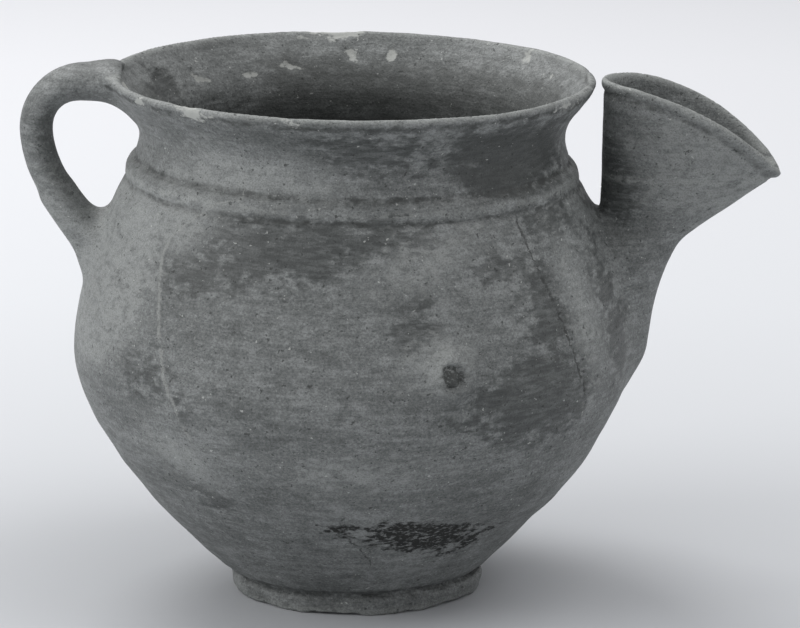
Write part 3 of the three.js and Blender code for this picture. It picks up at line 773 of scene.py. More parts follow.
@dataclass
class Jar:
    """The whole jar as one lump of clay, and the pieces it is cut into."""

    body: TurnedBody = field(default_factory=TurnedBody)
    foot: FootDisc = field(default_factory=FootDisc)
    handle: StrapHandle = field(default_factory=StrapHandle)
    spout: FunnelSpout = field(default_factory=FunnelSpout)
    boss: BrokenBoss = field(default_factory=BrokenBoss)
    wear: Wear = field(default_factory=Wear)
    voxel: float = 1.25
    margin: float = 4.0
    foot_blend: float = 0.8
    mouth_round: float = 5.0
    bore_round: float = 1.2
    handle_reach: float = -55.0
    spout_reach: float = 45.0
    handle_blend: float = 9.0
    spout_blend: float = 9.0
    notch_blend: float = 1.5
    notch_floor: float = 119.0
    notch_open: float = 134.0
    tail_blend: float = 14.0
    fullness: float = 1.2
    fullest: float = 45.0
    lumps: float = 0.32
    dents: float = 0.15
    ridges: float = 0.2
    brush_lines: float = 0.09
    groove_depth: float = 0.45
    thumb_depth: float = 1.6
    chip_depth: float = 0.7
    pit_depth: float = 0.5
    crack_depth: float = 0.3
    mend_rise: float = 0.3
    foot_waves: float = 1.5
    foot_lumps: float = 0.7
    foot_wear: float = 0.3
    sink: float = 0.12

    def distance(self, points: np.ndarray) -> np.ndarray:
        """Measures the luted clay.

        Args:
            points: N positions in mm.

        Returns:
            The distance from each point to the clay, negative inside.
        """
        radius, height = self.body.upright(points)
        wall = self.body.wall.at(radius, height)
        clay = smooth_union(wall, self.foot.distance(points), self.foot_blend)
        x = points[:, 0]
        near = x < self.handle_reach
        if near.any():
            spots = points[near]
            hollow = self.body.cavity.at(radius[near], height[near])
            strap = smooth_cut(self.handle.distance(spots), hollow, self.mouth_round)
            strap = smooth_union(clay[near], strap, self.handle_blend)
            clay[near] = np.maximum(strap, -hollow)
        near = x > self.spout_reach
        if near.any():
            spots = points[near]
            rising = smoothstep(self.notch_floor, self.notch_open, spots[:, 2])
            inward = smoothstep(6.0, -6.0, self.spout.local(spots)[1])
            blend = self.spout_blend + (self.notch_blend - self.spout_blend) * rising * inward
            joined = smooth_union(clay[near], self.spout.tail(spots), self.tail_blend)
            joined = smooth_union(joined, self.spout.outside(spots), blend)
            hollow = self.body.cavity.at(radius[near], height[near])
            joined = np.maximum(joined, -hollow)
            clay[near] = smooth_cut(joined, self.spout.hollow(spots), self.bore_round)
        return clay

    def slope(self, points: np.ndarray) -> np.ndarray:
        """Returns the direction in which the distance grows at each point, not scaled to 1."""
        reach = 0.4
        sides = []
        for axis in np.eye(3) * reach:
            sides.append(self.distance(points + axis) - self.distance(points - axis))
        return np.stack(sides, axis=1) / (2 * reach)

    def relief(self, points: np.ndarray) -> np.ndarray:
        """Returns how far tooling, wear and damage raise the skin at each point, in mm."""
        radius, height = self.body.upright(points)
        turned = smoothstep(4.0, 1.0, np.abs(self.body.wall.at(radius, height)))
        rise = self.lumps * unevenness(points, 30.0, 1) + self.dents * unevenness(points, 8.0, 2)
        fuller = smoothstep(18.0, 2.0, np.abs(points[:, 2] - self.fullest))
        fuller = smoothstep(20.0, 65.0, points[:, 0]) * fuller
        rise += turned * self.fullness * fuller
        rise += turned * self.ridges * unevenness(points, (80.0, 80.0, 7.0), 3)
        rise += turned * self.brush_lines * unevenness(points, (50.0, 50.0, 2.8), 4)
        gaps = self.wear.gaps(points, self.body, self.boss, self.spout)
        rise -= self.groove_depth * smoothstep(0.9, -0.6, gaps[Mark.GROOVE])
        rise -= self.thumb_depth * smoothstep(1.0, -5.0, self.wear.thumb.gap(points))
        chipped = gaps[Mark.CHIP] + 0.8 * unevenness(points, 3.0, 6)
        rise -= self.chip_depth * smoothstep(0.8, -1.2, chipped)
        pits = smoothstep(0.0, 0.7, unevenness(points, 3.0, 7))
        rise -= self.pit_depth * pits * smoothstep(1.0, -1.0, gaps[Mark.PITTED])
        rise -= self.crack_depth * smoothstep(1.6, 0.2, np.abs(gaps[Mark.CRACK]))
        rise += self.mend_rise * smoothstep(1.4, 0.2, np.abs(gaps[Mark.MEND]))
        foot = smoothstep(self.foot.height + 2.0, self.foot.height - 1.0, points[:, 2])
        waves = self.foot_waves * unevenness(points, 15.0, 8)
        waves = waves + self.foot_lumps * unevenness(points, 4.5, 9)
        rise += foot * (waves - self.foot_wear)
        return rise + self.boss.relief(points, self.body) - self.sink

    def skin(self) -> tuple[np.ndarray, np.ndarray]:
        """Meshes the clay's surface.

        Returns:
            The corners in mm and the four-sided faces.
        """
        low = np.array(CAD_BOX[0]) / MM - self.margin
        high = np.array(CAD_BOX[1]) / MM + self.margin
        counts = np.ceil((high - low) / self.voxel).astype(int)
        band = 3 * self.voxel
        block = np.empty(counts, np.float32)
        axes = [low[i] + np.arange(counts[i]) * self.voxel for i in range(3)]
        for i, x in enumerate(axes[0]):
            y, z = np.meshgrid(axes[1], axes[2], indexing="ij")
            spots = np.stack([np.full(y.size, x), y.ravel(), z.ravel()], axis=1)
            block[i] = np.clip(self.distance(spots), -band, band).reshape(y.shape)
        grid = vdb.FloatGrid(band)
        grid.copyFromArray(block)
        corners, faces = grid.convertToQuads(isovalue=0.0)
        corners = corners.astype(float) * self.voxel + low
        for _ in range(2):
            slope = self.slope(corners)
            steep = np.maximum((slope**2).sum(axis=1), 0.25)
            step = slope * (self.distance(corners) / steep)[:, None]
            length = np.linalg.norm(step, axis=1)[:, None]
            corners = corners - step * np.minimum(1.0, 0.6 * self.voxel / np.maximum(length, 1e-6))
        outward = self.slope(corners)
        outward /= np.maximum(np.linalg.norm(outward, axis=1), 0.5)[:, None]
        corners = corners + outward * self.relief(corners)[:, None]
        box = np.array(CAD_BOX) / MM
        return np.clip(corners, box[0], box[1] - 0.02), faces.astype(int)


def mesh_object(name: str, corners: np.ndarray, faces) -> bpy.types.Object:
    """Makes an object in the frame's metres from corners in mm.

    Args:
        name: the object's name.
        corners: N positions in mm.
        faces: lists of corner numbers.

    Returns:
        The object, linked to the scene.
    """
    mesh = bpy.data.meshes.new(name)
    mesh.from_pydata((np.asarray(corners) * MM).tolist(), [], [list(map(int, f)) for f in faces])
    mesh.update()
    made = bpy.data.objects.new(name, mesh)
    bpy.context.scene.collection.objects.link(made)
    return made


class Knife:
    """Closed blocks that mark out one piece of the clay, and the cuts made with them."""

    STEPS = 144

    @staticmethod
    def loft(name: str, rings: list[np.ndarray]) -> bpy.types.Object:
        """Joins rings of equal length into a closed block with flat ends.

        Args:
            name: the block's name.
            rings: each an array of positions in mm, all running the same way round.

        Returns:
            The block.
        """
        count = len(rings[0])
        faces = []
        for i in range(len(rings) - 1):
            for j in range(count):
                k = (j + 1) % count
                low, high = i * count, (i + 1) * count
                faces.append((low + j, low + k, high + k, high + j))
        last = (len(rings) - 1) * count
        faces.append(tuple(reversed(range(count))))
        faces.append(tuple(range(last, last + count)))
        block = mesh_object(name, np.vstack(rings), faces)
        solid = bmesh.new()
        solid.from_mesh(block.data)
        bmesh.ops.recalc_face_normals(solid, faces=solid.faces[:])
        solid.to_mesh(block.data)
        solid.free()
        return block

    @classmethod
    def turned(cls, name: str, outline) -> bpy.types.Object:
        """Turns an open outline about Z. Its ends are closed by flat discs.

        Args:
            name: the block's name.
            outline: points of radius and height, none on the axis.

        Returns:
            The block.
        """
        angles = np.linspace(0.0, 2 * np.pi, cls.STEPS, endpoint=False)
        rings = [
            np.stack([r * np.cos(angles), r * np.sin(angles), np.full(cls.STEPS, z)], axis=1)
            for r, z in outline
        ]
        return cls.loft(name, rings)

    @classmethod
    def sleeve(cls, name: str, line: np.ndarray, radii) -> bpy.types.Object:
        """Makes a round block along a line.

        Args:
            name: the block's name.
            line: positions in mm.
            radii: the block's radius at each position.

        Returns:
            The block.
        """
        line = np.asarray(line, float)
        angles = np.linspace(0.0, 2 * np.pi, cls.STEPS // 3, endpoint=False)
        along = np.gradient(line, axis=0)
        along /= np.linalg.norm(along, axis=1)[:, None]
        rings = []
        for spot, tangent, radius in zip(line, along, radii):
            side = np.cross(tangent, [0.0, 1.0, 0.0])
            if np.linalg.norm(side) < 0.1:
                side = np.cross(tangent, [1.0, 0.0, 0.0])
            side /= np.linalg.norm(side)
            other = np.cross(tangent, side)
            turn = np.outer(np.cos(angles), side) + np.outer(np.sin(angles), other)
            rings.append(spot + turn * radius)
        return cls.loft(name, rings)

    @staticmethod
    def cut(
        clay: bpy.types.Object, block: bpy.types.Object, operation: str, name: str,
    ) -> bpy.types.Mesh:
        """Cuts or keeps what a block marks out.

        Args:
            clay: the object to cut. It isn't changed.
            block: the block.
            operation: INTERSECT or DIFFERENCE.
            name: the new mesh's name.

        Returns:
            The mesh that is left.
        """
        modifier = clay.modifiers.new("cut", "BOOLEAN")
        modifier.solver = "MANIFOLD"
        modifier.operation = operation
        modifier.object = block
        graph = bpy.context.evaluated_depsgraph_get()
        left = bpy.data.meshes.new_from_object(clay.evaluated_get(graph))
        left.name = name
        clay.modifiers.remove(modifier)
        return left


def drop_crumbs(mesh: bpy.types.Mesh, fewest: int = 60) -> None:
    """Removes the loose crumbs and folded films that cuts leave where they graze a face.

    Args:
        mesh: a piece's mesh, which is changed.
        fewest: how many faces an island needs to stay.
    """
    work = bmesh.new()
    work.from_mesh(mesh)
    bmesh.ops.triangulate(work, faces=[face for face in work.faces if len(face.verts) > 4])
    left = set(work.faces)
    crumbs = []
    while left:
        front = [left.pop()]
        island = []
        while front:
            face = front.pop()
            island.append(face)
            beside = {other for edge in face.edges for other in edge.link_faces} & left
            left -= beside
            front.extend(beside)
        if len(island) < fewest:
            crumbs.extend(island)
    twins: dict[frozenset, list] = {}
    for face in set(work.faces) - set(crumbs):
        twins.setdefault(frozenset(face.verts), []).append(face)
    crumbs.extend(face for pair in twins.values() if len(pair) > 1 for face in pair)
    bmesh.ops.delete(work, geom=crumbs, context="FACES")
    work.to_mesh(mesh)
    work.free()


@dataclass
class Bench:
    """Cuts the skin into the lumps that the potter formed, one named piece for each."""

    jar: Jar
    skin_depth: float = 1.5
    strap_room: float = 15.0
    rim_luting_length: float = 24.8
    root_luting_start: float = 79.8
    spout_luting_start: float = 33.5
    spout_room: float = 0.7
    bead_room: float = 1.2
    tail_line: tuple[tuple[float, float], ...] = (
        (101.0, 142.0), (101.0, 130.0), (100.0, 110.0), (97.0, 90.0), (95.0, 74.0),
    )
    tail_rooms: tuple[float, ...] = (22.0, 22.0, 20.0, 15.0, 9.0)
    ring_reach: float = 110.0
    joint_slope: float = 0.5
    sharp_angle: float = 50.0

    def core(self) -> bpy.types.Object:
        """Returns the inside of the wall, which the luting doesn't reach into."""
        body = self.jar.body
        outline = body.body_outline()[1:]
        depth = self.skin_depth
        low = [[r - depth, z] for r, z in outline[::4]]
        neck = [
            [body.shoulder_radius - depth, body.shoulder_height],
            [body.neck_radius - depth, body.neck_height - 3.0],
            [body.neck_radius - depth, body.neck_height + 4.0],
            [body.lip_radius - 7.0, body.rim_height - 8.0],
            [body.lip_radius - 3.4, body.rim_height - 4.2],
            [body.lip_radius - 3.0, body.rim_height - 3.4],
        ]
        return Knife.turned("core", low + neck)

    def strap_block(self, name: str, start: float, end: float) -> bpy.types.Object:
        """Returns a block round the strap between two lengths along it."""
        handle = self.jar.handle
        places = np.linspace(start, end, 24)
        inside = np.clip(places, 0.0, handle.length)
        flat = [np.interp(inside, handle.lengths, handle.line[:, i]) for i in (0, 1)]
        beyond = (places - inside)[:, None]
        first, last = handle.along[0], handle.along[-1]
        line = np.stack(flat, axis=1) + np.minimum(beyond, 0) * first + np.maximum(beyond, 0) * last
        spots = np.stack([line[:, 0], np.zeros(len(line)), line[:, 1]], axis=1)
        return Knife.sleeve(name, spots, np.full(len(spots), self.strap_room))

    def spout_block(self) -> bpy.types.Object:
        """Returns a block round the funnel down to where the luting starts."""
        spout = self.jar.spout
        axis, across = heading(90 - spout.lean), heading(-spout.lean)
        angles = np.linspace(0.0, 2 * np.pi, 72, endpoint=False)
        rings = []
        for depth in np.linspace(-20.0, self.spout_luting_start, 14):
            share = float(spout.openness(np.array(depth)))
            room = self.spout_room + self.bead_room * share
            wide, deep = (half + room for half in spout.halves(share))
            flat = np.array(spout.mouth) - axis * depth + np.outer(np.cos(angles) * wide, across)
            rings.append(np.stack([flat[:, 0], np.sin(angles) * deep, flat[:, 1]], axis=1))
        return Knife.loft("spout_block", rings)

    def blocks(self) -> list[tuple[str, bpy.types.Object]]:
        """Returns each piece's name and block, in the order in which they are cut off."""
        body, boss, handle = self.jar.body, self.jar.boss, self.jar.handle
        core = self.core()
        seat = self.jar.foot.height + 0.15
        middle = boss.centre(body)
        outward = middle * [1.0, 1.0, 0.0] / np.linalg.norm(middle[:2])
        peg = [middle - outward * 2.5, middle, middle + outward * 8.0]
        tail = [[x, 0.0, z] for x, z in self.tail_line]
        lutings = [
            ("handle_rim_luting", self.strap_block("rim_block", -8.0, self.rim_luting_length)),
            (
                "handle_root_luting",
                self.strap_block("root_block", self.root_luting_start, handle.length),
            ),
            ("spout_luting", Knife.sleeve("tail_block", tail, self.tail_rooms)),
        ]
        for name, block in lutings:
            block.data = Knife.cut(block, core, "DIFFERENCE", name + "_block")
        top, crown = body.band_top + 0.3, body.shoulder_height - 0.4
        ring = [
            [body.shoulder_radius - self.skin_depth, crown], [self.ring_reach, crown],
            [self.ring_reach, top], [body.band_top_radius - self.skin_depth, top],
        ]
        joint = body.shoulder_height + body.band_height / 2
        return [
            ("foot", Knife.turned("foot_block", [[60.0, -5.0], [60.0, seat]])),
            ("boss", Knife.sleeve("boss_block", peg, [boss.mound_radius] * 3)),
            (
                "handle",
                self.strap_block("handle_block", self.rim_luting_length, self.root_luting_start),
            ),
            ("spout", self.spout_block()),
            *lutings,
            ("neck_band", self.ring_block(ring)),
            ("neck", Knife.turned("neck_block", [[120.0, joint], [120.0, 210.0]])),
            ("upper_body", Knife.turned("upper_block", self.scarf(body) + [[130.0, 210.0]])),
        ]

    def scarf(self, body: TurnedBody) -> list[list[float]]:
        """Returns the sloping joint at the belly, from the inside out."""
        return [
            [r, body.belly_height + (r - body.belly_radius) * self.joint_slope]
            for r in (80.0, 130.0)
        ]

    @staticmethod
    def ring_block(outline) -> bpy.types.Object:
        """Returns a block turned from a closed outline that keeps clear of the axis."""
        outer = Knife.turned("band_block", outline[1:3])
        inner = Knife.turned("band_core", [
            [outline[0][0] + 0.4, outline[0][1] - 1.0], outline[0], outline[3],
            [outline[3][0] - 0.4, outline[3][1] + 1.0],
        ])
        outer.data = Knife.cut(outer, inner, "DIFFERENCE", "band_block")
        bpy.data.objects.remove(inner)
        return outer

    def cut_up(self, clay: bpy.types.Object) -> dict[str, bpy.types.Object]:
        """Cuts the clay up.

        Args:
            clay: the whole skin. It is used up.

        Returns:
            The pieces by name.
        """
        made: dict[str, bpy.types.Object] = {}
        for name, block in self.blocks():
            mesh = Knife.cut(clay, block, "INTERSECT", name)
            clay.data = Knife.cut(clay, block, "DIFFERENCE", "rest")
            made[name] = bpy.data.objects.new("dressed_" + name, mesh)
            bpy.context.scene.collection.objects.link(made[name])
        clay.name = "dressed_lower_body"
        made["lower_body"] = clay
        for spare in [o for o in bpy.data.objects if o.name.endswith("_block") or o.name == "core"]:
            bpy.data.objects.remove(spare)
        for piece in made.values():
            drop_crumbs(piece.data)
            piece.data.shade_smooth()
            piece.data.set_sharp_from_angle(angle=math.radians(self.sharp_angle))
            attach(piece, "root")
        for name, piece in made.items():
            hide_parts(name)
        return made


def linear(colour: str) -> tuple[float, float, float, float]:
    """Turns an sRGB colour such as 6b6e6e into a linear one with full alpha."""
    parts = [int(colour[i:i + 2], 16) / 255 for i in (0, 2, 4)]
    parts = [part / 12.92 if part <= 0.04045 else ((part + 0.055) / 1.055) ** 2.4 for part in parts]
    return parts[0], parts[1], parts[2], 1.0


def add_node(
    tree: bpy.types.NodeTree, kind: str, inputs: dict | None = None, **settings,
) -> bpy.types.Node:
    """Adds a node.

    Args:
        tree: the node tree.
        kind: the node's type name.
        inputs: for each input socket, by name or number, a value or the output that feeds it.
        settings: the node's own properties.

    Returns:
        The node.
    """
    node = tree.nodes.new(kind)
    for name, value in settings.items():
        setattr(node, name, value)
    for key, value in (inputs or {}).items():
        if isinstance(value, bpy.types.NodeSocket):
            tree.links.new(value, node.inputs[key])
        else:
            node.inputs[key].default_value = value
    return node


def colour_ramp(
    tree: bpy.types.NodeTree, value: bpy.types.NodeSocket, stops: tuple[tuple[float, str], ...],
) -> bpy.types.NodeSocket:
    """Turns a value into a colour.

    Args:
        tree: the node tree.
        value: the value.
        stops: the places and the sRGB colours that the ramp runs through.

    Returns:
        The colour.
    """
    ramp = add_node(tree, "ShaderNodeValToRGB", {"Fac": value})
    while len(ramp.color_ramp.elements) < len(stops):
        ramp.color_ramp.elements.new(0.5)
    for element, (position, colour) in zip(ramp.color_ramp.elements, stops):
        element.position, element.color = position, linear(colour)
    return ramp.outputs["Color"]


@dataclass(frozen=True)
class Tint:
    """A colour laid over the ware where a mark is, and how it alters the shine."""

    colour: str
    strength: float
    roughness: float


@dataclass
class GreyWare:
    """Clay fired grey without air: a dull, smoothed skin with wheel streaks, dark patches and scuffs, and
    painted shade and painted highlights.
    """

    name: str
    dark: str = "535655"
    middle: str = "6e7170"
    light: str = "8c8f8e"
    stain: Tint = Tint("383b3a", 0.82, 0.5)
    pale: Tint = Tint("a1a4a2", 0.66, 0.75)
    pitted: Tint = Tint("131412", 0.95, 0.8)
    chip: Tint = Tint("b0b2ae", 0.85, 0.9)
    crack: Tint = Tint("2b2c2a", 0.75, 0.85)
    mend: Tint = Tint("9c9e9b", 0.6, 0.8)
    groove: Tint = Tint("353735", 0.75, 0.75)
    soot: Tint = Tint("444644", 0.6, 0.7)
    worn: Tint = Tint("9b9e9b", 0.55, 0.65)
    speck: Tint = Tint("c4c6c2", 0.6, 0.8)
    scar: Tint = Tint("303230", 0.8, 0.85)
    grit: Tint = Tint("1e201f", 0.3, 0.7)
    pore: Tint = Tint("2a2c2a", 0.7, 0.8)
    roughness: float = 0.6
    tree: bpy.types.NodeTree = field(init=False)
    place: bpy.types.NodeSocket = field(init=False)
    colour: bpy.types.NodeSocket = field(init=False)
    rough: bpy.types.NodeSocket = field(init=False)

    def build(self) -> bpy.types.Material:
        """Makes the material.

        Returns:
            The material, which needs the marks on the mesh.
        """
        material = bpy.data.materials.new(self.name)
        material.use_nodes = True
        self.tree = material.node_tree
        self.place = add_node(self.tree, "ShaderNodeTexCoord").outputs["Object"]
        cloud, blotch = self.noise((42.0, 42.0, 26.0), 5.0), self.noise((9.0, 9.0, 5.5), 5.0)
        streak, grain = self.noise((22.0, 22.0, 1.3), 4.0), self.noise((1.0, 1.0, 0.8), 4.0)
        speckle, mottle = self.noise((1.9, 1.9, 1.6), 2.0), self.noise((4.2, 4.2, 2.2), 5.0)
        tone = self.sum_of((
            (cloud, 0.19), (blotch, 0.17), (mottle, 0.2), (streak, 0.15), (grain, 0.26),
        ))
        stops = ((0.4, self.dark), (0.48, self.middle), (0.56, self.light))
        self.colour = colour_ramp(self.tree, tone, stops)
        uneven = ((blotch, 0.12), (grain, 0.1), (streak, 0.06))
        self.rough = self.sum_of(uneven, self.roughness - 0.14)
        patchy = self.step(mottle, 0.4, 0.56)
        ragged = self.sum_of(((blotch, 0.6), (mottle, 0.4)))
        # Painted shade inside the jar and on the right of the neck.
        self.lay(self.soot, self.zone(Mark.SOOT, ragged, 14.0, 4.0))
        brushed = self.step(self.noise((6.0, 6.0, 1.2), 5.0), 0.42, 0.58)
        flecks = self.sum_of(((brushed, 0.4), (grain, 0.9)), 0.1)
        # Darker patches, partly painted shade, and painted shade in the thumb hollow.
        self.lay(self.stain, self.zone(Mark.STAIN, ragged, 46.0, 3.4), flecks)
        self.lay(self.pale, self.zone(Mark.PALE, ragged, 50.0, 5.0), self.step(mottle, 0.7, 0.42))
        # Painted highlights on the lips and the band's crest, and wear at the foot's edge.
        self.lay(self.worn, self.zone(Mark.WORN, mottle, 8.0, 1.2), self.step(mottle, 0.34, 0.46))
        # Painted shade in the grooves and creases and under the lips.
        self.lay(
            self.groove, self.zone(Mark.GROOVE, mottle, 4.0, 0.9), self.step(blotch, 0.3, 0.55),
        )
        self.lay(self.mend, self.line(Mark.MEND, mottle, 0.7, 3.0), self.step(blotch, 0.34, 0.46))
        self.lay(self.crack, self.line(Mark.CRACK, mottle, 0.6, 6.0), patchy)
        self.lay(self.grit, self.step(self.noise((0.55, 0.55, 0.5), 2.0), 0.54, 0.36))
        self.lay(self.pore, self.step(speckle, 0.35, 0.28))
        self.lay(self.speck, self.step(speckle, 0.7, 0.75))
        crust = self.step(self.noise((1.9, 1.9, 0.9), 3.0), 0.38, 0.5)
        black = self.both(self.zone(Mark.PITTED, mottle, 16.0, 1.2), crust)
        self.lay(self.pitted, black)
        self.lay(self.scar, self.zone(Mark.SCAR, mottle, 9.0, 0.8), self.step(grain, 0.36, 0.5))
        self.lay(self.chip, self.zone(Mark.CHIP, mottle, 8.0, 0.5))
        rise = self.sum_of((
            (grain, 0.3), (streak, 0.14), (mottle, 0.35), (speckle, 0.14), (black, -0.3),
        ))
        bump = add_node(self.tree, "ShaderNodeBump", {"Height": rise, "Strength": 0.8, "Distance": MM})
        shader = self.tree.nodes["Principled BSDF"]
        shader.inputs["IOR"].default_value = 1.5
        self.tree.links.new(self.colour, shader.inputs["Base Color"])
        self.tree.links.new(self.rough, shader.inputs["Roughness"])
        self.tree.links.new(bump.outputs["Normal"], shader.inputs["Normal"])
        return material

    def noise(self, spacing: tuple[float, float, float], detail: float) -> bpy.types.NodeSocket:
        """Returns random values about 0.5 whose grain has the given size in mm along X, Y and Z."""
        scale = tuple(1.0 / (MM * size) for size in spacing)
        inputs = {0: self.place, 1: scale}
        place = add_node(self.tree, "ShaderNodeVectorMath", inputs, operation="MULTIPLY")
        inputs = {"Vector": place.outputs["Vector"], "Scale": 1.0, "Detail": detail, "Roughness": 0.58}
        return add_node(self.tree, "ShaderNodeTexNoise", inputs).outputs["Fac"]

    def sum_of(self, parts, start: float = 0.0) -> bpy.types.NodeSocket:
        """Returns the sum of values, each times its share, on top of a start."""
        total = start
        for value, share in parts:
            inputs = {0: value, 1: share, 2: total}
            total = self.compute("MULTIPLY_ADD", inputs)
        return total

    def compute(self, operation: str, inputs: dict) -> bpy.types.NodeSocket:
        """Returns what an operation makes of its inputs."""
        return add_node(self.tree, "ShaderNodeMath", inputs, operation=operation).outputs["Value"]

    def both(self, first: bpy.types.NodeSocket, second: bpy.types.NodeSocket) -> bpy.types.NodeSocket:
        """Returns the product of two values."""
        return self.compute("MULTIPLY", {0: first, 1: second})

    def step(self, value: bpy.types.NodeSocket, low: float, high: float) -> bpy.types.NodeSocket:
        """Returns 0 at low, 1 at high and an S curve between."""
        inputs = {"Value": value, "From Min": low, "From Max": high, "To Min": 0.0, "To Max": 1.0}
        made = add_node(self.tree, "ShaderNodeMapRange", inputs, interpolation_type="SMOOTHSTEP")
        return made.outputs["Result"]

    def gap(self, mark: Mark) -> bpy.types.NodeSocket:
        """Returns the gap to a mark in mm, which the mesh keeps."""
        return add_node(self.tree, "ShaderNodeAttribute", attribute_name=mark.value).outputs["Fac"]

    def uneven_gap(
        self, mark: Mark, ragged: bpy.types.NodeSocket, reach: float,
    ) -> bpy.types.NodeSocket:
        """Returns the gap to a mark, made to wander by random values over a reach in mm."""
        return self.sum_of(((ragged, reach), (self.gap(mark), 1.0)), -reach / 2)

    def zone(
        self, mark: Mark, ragged: bpy.types.NodeSocket, reach: float, soft: float,
    ) -> bpy.types.NodeSocket:
        """Tells a mark's inside from its outside.

        Args:
            mark: the mark.
            ragged: random values that make its edge uneven.
            reach: how strongly they do, in mm.
            soft: half the width of the edge, in mm.

        Returns:
            1 inside the mark and 0 outside.
        """
        return self.step(self.uneven_gap(mark, ragged, reach), soft, -soft)

    def line(
        self, mark: Mark, ragged: bpy.types.NodeSocket, half_width: float, reach: float,
    ) -> bpy.types.NodeSocket:
        """Tells a thin line from what lies beside it.

        Args:
            mark: the mark that runs along the line.
            ragged: random values that make it wander.
            half_width: half its width, in mm.
            reach: how far it wanders, in mm.

        Returns:
            1 on the line and 0 beside it.
        """
        gap = self.compute("ABSOLUTE", {0: self.uneven_gap(mark, ragged, reach)})
        return self.step(gap, half_width * 1.5, half_width * 0.3)

    def lay(
        self, tint: Tint, share: bpy.types.NodeSocket, where: bpy.types.NodeSocket | None = None,
    ) -> None:
        """Lays a tint over the colour and the shine.

        Args:
            tint: the tint.
            share: how much of it shows, from 0 to 1.
            where: a second share that the first is thinned by.
        """
        if where is not None:
            share = self.both(share, where)
        strength = self.sum_of(((share, tint.strength),))
        inputs = {0: strength, 6: self.colour, 7: linear(tint.colour)}
        self.colour = add_node(self.tree, "ShaderNodeMix", inputs, data_type="RGBA").outputs[2]
        inputs = {0: strength, 2: self.rough, 3: tint.roughness}
        self.rough = add_node(self.tree, "ShaderNodeMix", inputs, data_type="FLOAT").outputs[0]


def keep_marks(piece: bpy.types.Object, jar: Jar) -> None:
    """Keeps the gaps to all marks on a piece's mesh, for its material."""
    mesh = piece.data
    spots = np.empty(len(mesh.vertices) * 3)
    mesh.vertices.foreach_get("co", spots)
    for mark, gap in jar.wear.gaps(spots.reshape(-1, 3) / MM, jar.body, jar.boss, jar.spout).items():
        kept = mesh.attributes.new(mark.value, "FLOAT", "POINT")
        kept.data.foreach_set("value", gap.astype(np.float32))


@dataclass(frozen=True)
class Lamp:
    """A square soft box. Sizes and places in metres, power in watts."""

    name: str
    place: tuple[float, float, float]
    aim: tuple[float, float, float]
    size: float
    power: float


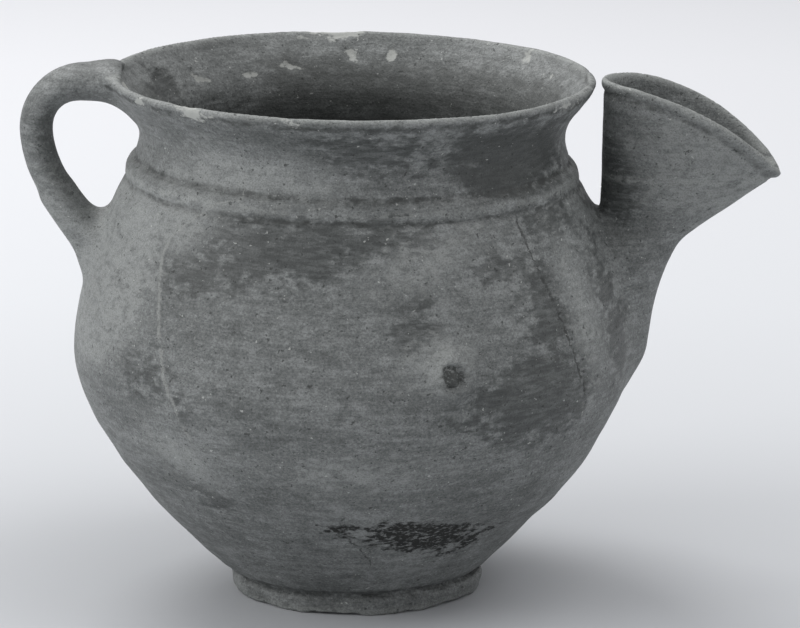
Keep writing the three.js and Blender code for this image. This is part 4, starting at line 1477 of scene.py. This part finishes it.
@dataclass
class Studio:
    """A plain floor, soft boxes at the left, the back and the right, and the camera."""

    distance: float = 1800.0
    pitch: float = 13.5
    target: tuple[float, float, float] = (16.6, 0.0, 97.0)
    lens: float = 231.4
    sensor: float = 36.0
    ambient: float = 0.54
    lamps: tuple[Lamp, ...] = (
        Lamp("left_softbox", (-1.35, -0.45, 0.85), (0.0, 0.0, 0.1), 0.9, 9.0),
        Lamp("back_softbox", (-0.6, 0.9, 1.4), (0.0, 0.0, 0.1), 0.9, 13.0),
        Lamp("right_softbox", (0.7, -0.1, 1.5), (0.0, 0.0, 0.1), 0.9, 6.5),
    )

    def camera(self) -> bpy.types.Object:
        """Sets the camera at the photograph's angle and returns it."""
        data = bpy.data.cameras.new("camera")
        data.lens, data.sensor_width = self.lens, self.sensor
        data.clip_start, data.clip_end = 0.1, 20.0
        made = bpy.data.objects.new("camera", data)
        back = Vector((0.0, -math.cos(math.radians(self.pitch)), math.sin(math.radians(self.pitch))))
        made.location = (Vector(self.target) + back * self.distance) * MM
        made.rotation_euler = (math.radians(90 - self.pitch), 0.0, 0.0)
        bpy.context.scene.collection.objects.link(made)
        bpy.context.scene.camera = made
        return made

    def light(self) -> None:
        """Hangs the soft boxes and sets the room's even light."""
        for lamp in self.lamps:
            data = bpy.data.lights.new(lamp.name, "AREA")
            data.size, data.energy = lamp.size, lamp.power
            made = bpy.data.objects.new(lamp.name, data)
            made.location = lamp.place
            towards = Vector(lamp.aim) - Vector(lamp.place)
            made.rotation_euler = towards.to_track_quat("-Z", "Y").to_euler()
            bpy.context.scene.collection.objects.link(made)
        world = bpy.data.worlds.new("studio")
        world.use_nodes = True
        background = world.node_tree.nodes["Background"]
        background.inputs["Color"].default_value = (1.0, 1.0, 1.02, 1.0)
        background.inputs["Strength"].default_value = self.ambient
        bpy.context.scene.world = world

    def floor(self) -> bpy.types.Object:
        """Lays the floor, with painted shade that makes it darker round the jar and paler further off, and
        returns it.
        """
        reach = 6.0
        corners = [(x * reach, y * reach, 0.0) for x, y in ((-1, -1), (1, -1), (1, 1), (-1, 1))]
        mesh = bpy.data.meshes.new("floor")
        mesh.from_pydata(corners, [], [(0, 1, 2, 3)])
        made = bpy.data.objects.new("floor", mesh)
        material = bpy.data.materials.new("pale_paper")
        material.use_nodes = True
        tree = material.node_tree
        shader = tree.nodes["Principled BSDF"]
        shader.inputs["Roughness"].default_value = 0.9
        shader.inputs["Specular IOR Level"].default_value = 0.2
        place = add_node(tree, "ShaderNodeTexCoord").outputs["Object"]
        away = add_node(tree, "ShaderNodeVectorMath", {0: place}, operation="LENGTH").outputs["Value"]
        # Painted shade: the floor's colour darkens towards the jar.
        stops = ((0.08, "c6c8cb"), (0.25, "d0d2d5"), (0.45, "d8dadd"), (1.0, "e4e5e8"))
        tree.links.new(colour_ramp(tree, away, stops), shader.inputs["Base Color"])
        mesh.materials.append(material)
        bpy.context.scene.collection.objects.link(made)
        return made


def main() -> None:
    """Builds the jar and the studio and reports each piece."""
    logging.basicConfig(level=logging.INFO, format="%(name)s: %(message)s")
    bpy.context.scene.view_settings.view_transform = "Standard"
    studio = Studio()
    studio.camera()
    studio.light()
    studio.floor()
    jar = Jar()
    corners, faces = jar.skin()
    LOG.info("skin: %d corners, %d faces", len(corners), len(faces))
    pieces = Bench(jar).cut_up(mesh_object("jar", corners, faces))
    ware = GreyWare("reduced_grey_ware").build()
    for name, piece in pieces.items():
        piece.data.materials.clear()
        piece.data.materials.append(ware)
        keep_marks(piece, jar)
        LOG.info("%s: %d faces", name, len(piece.data.polygons))


if __name__ == "__main__":
    main()
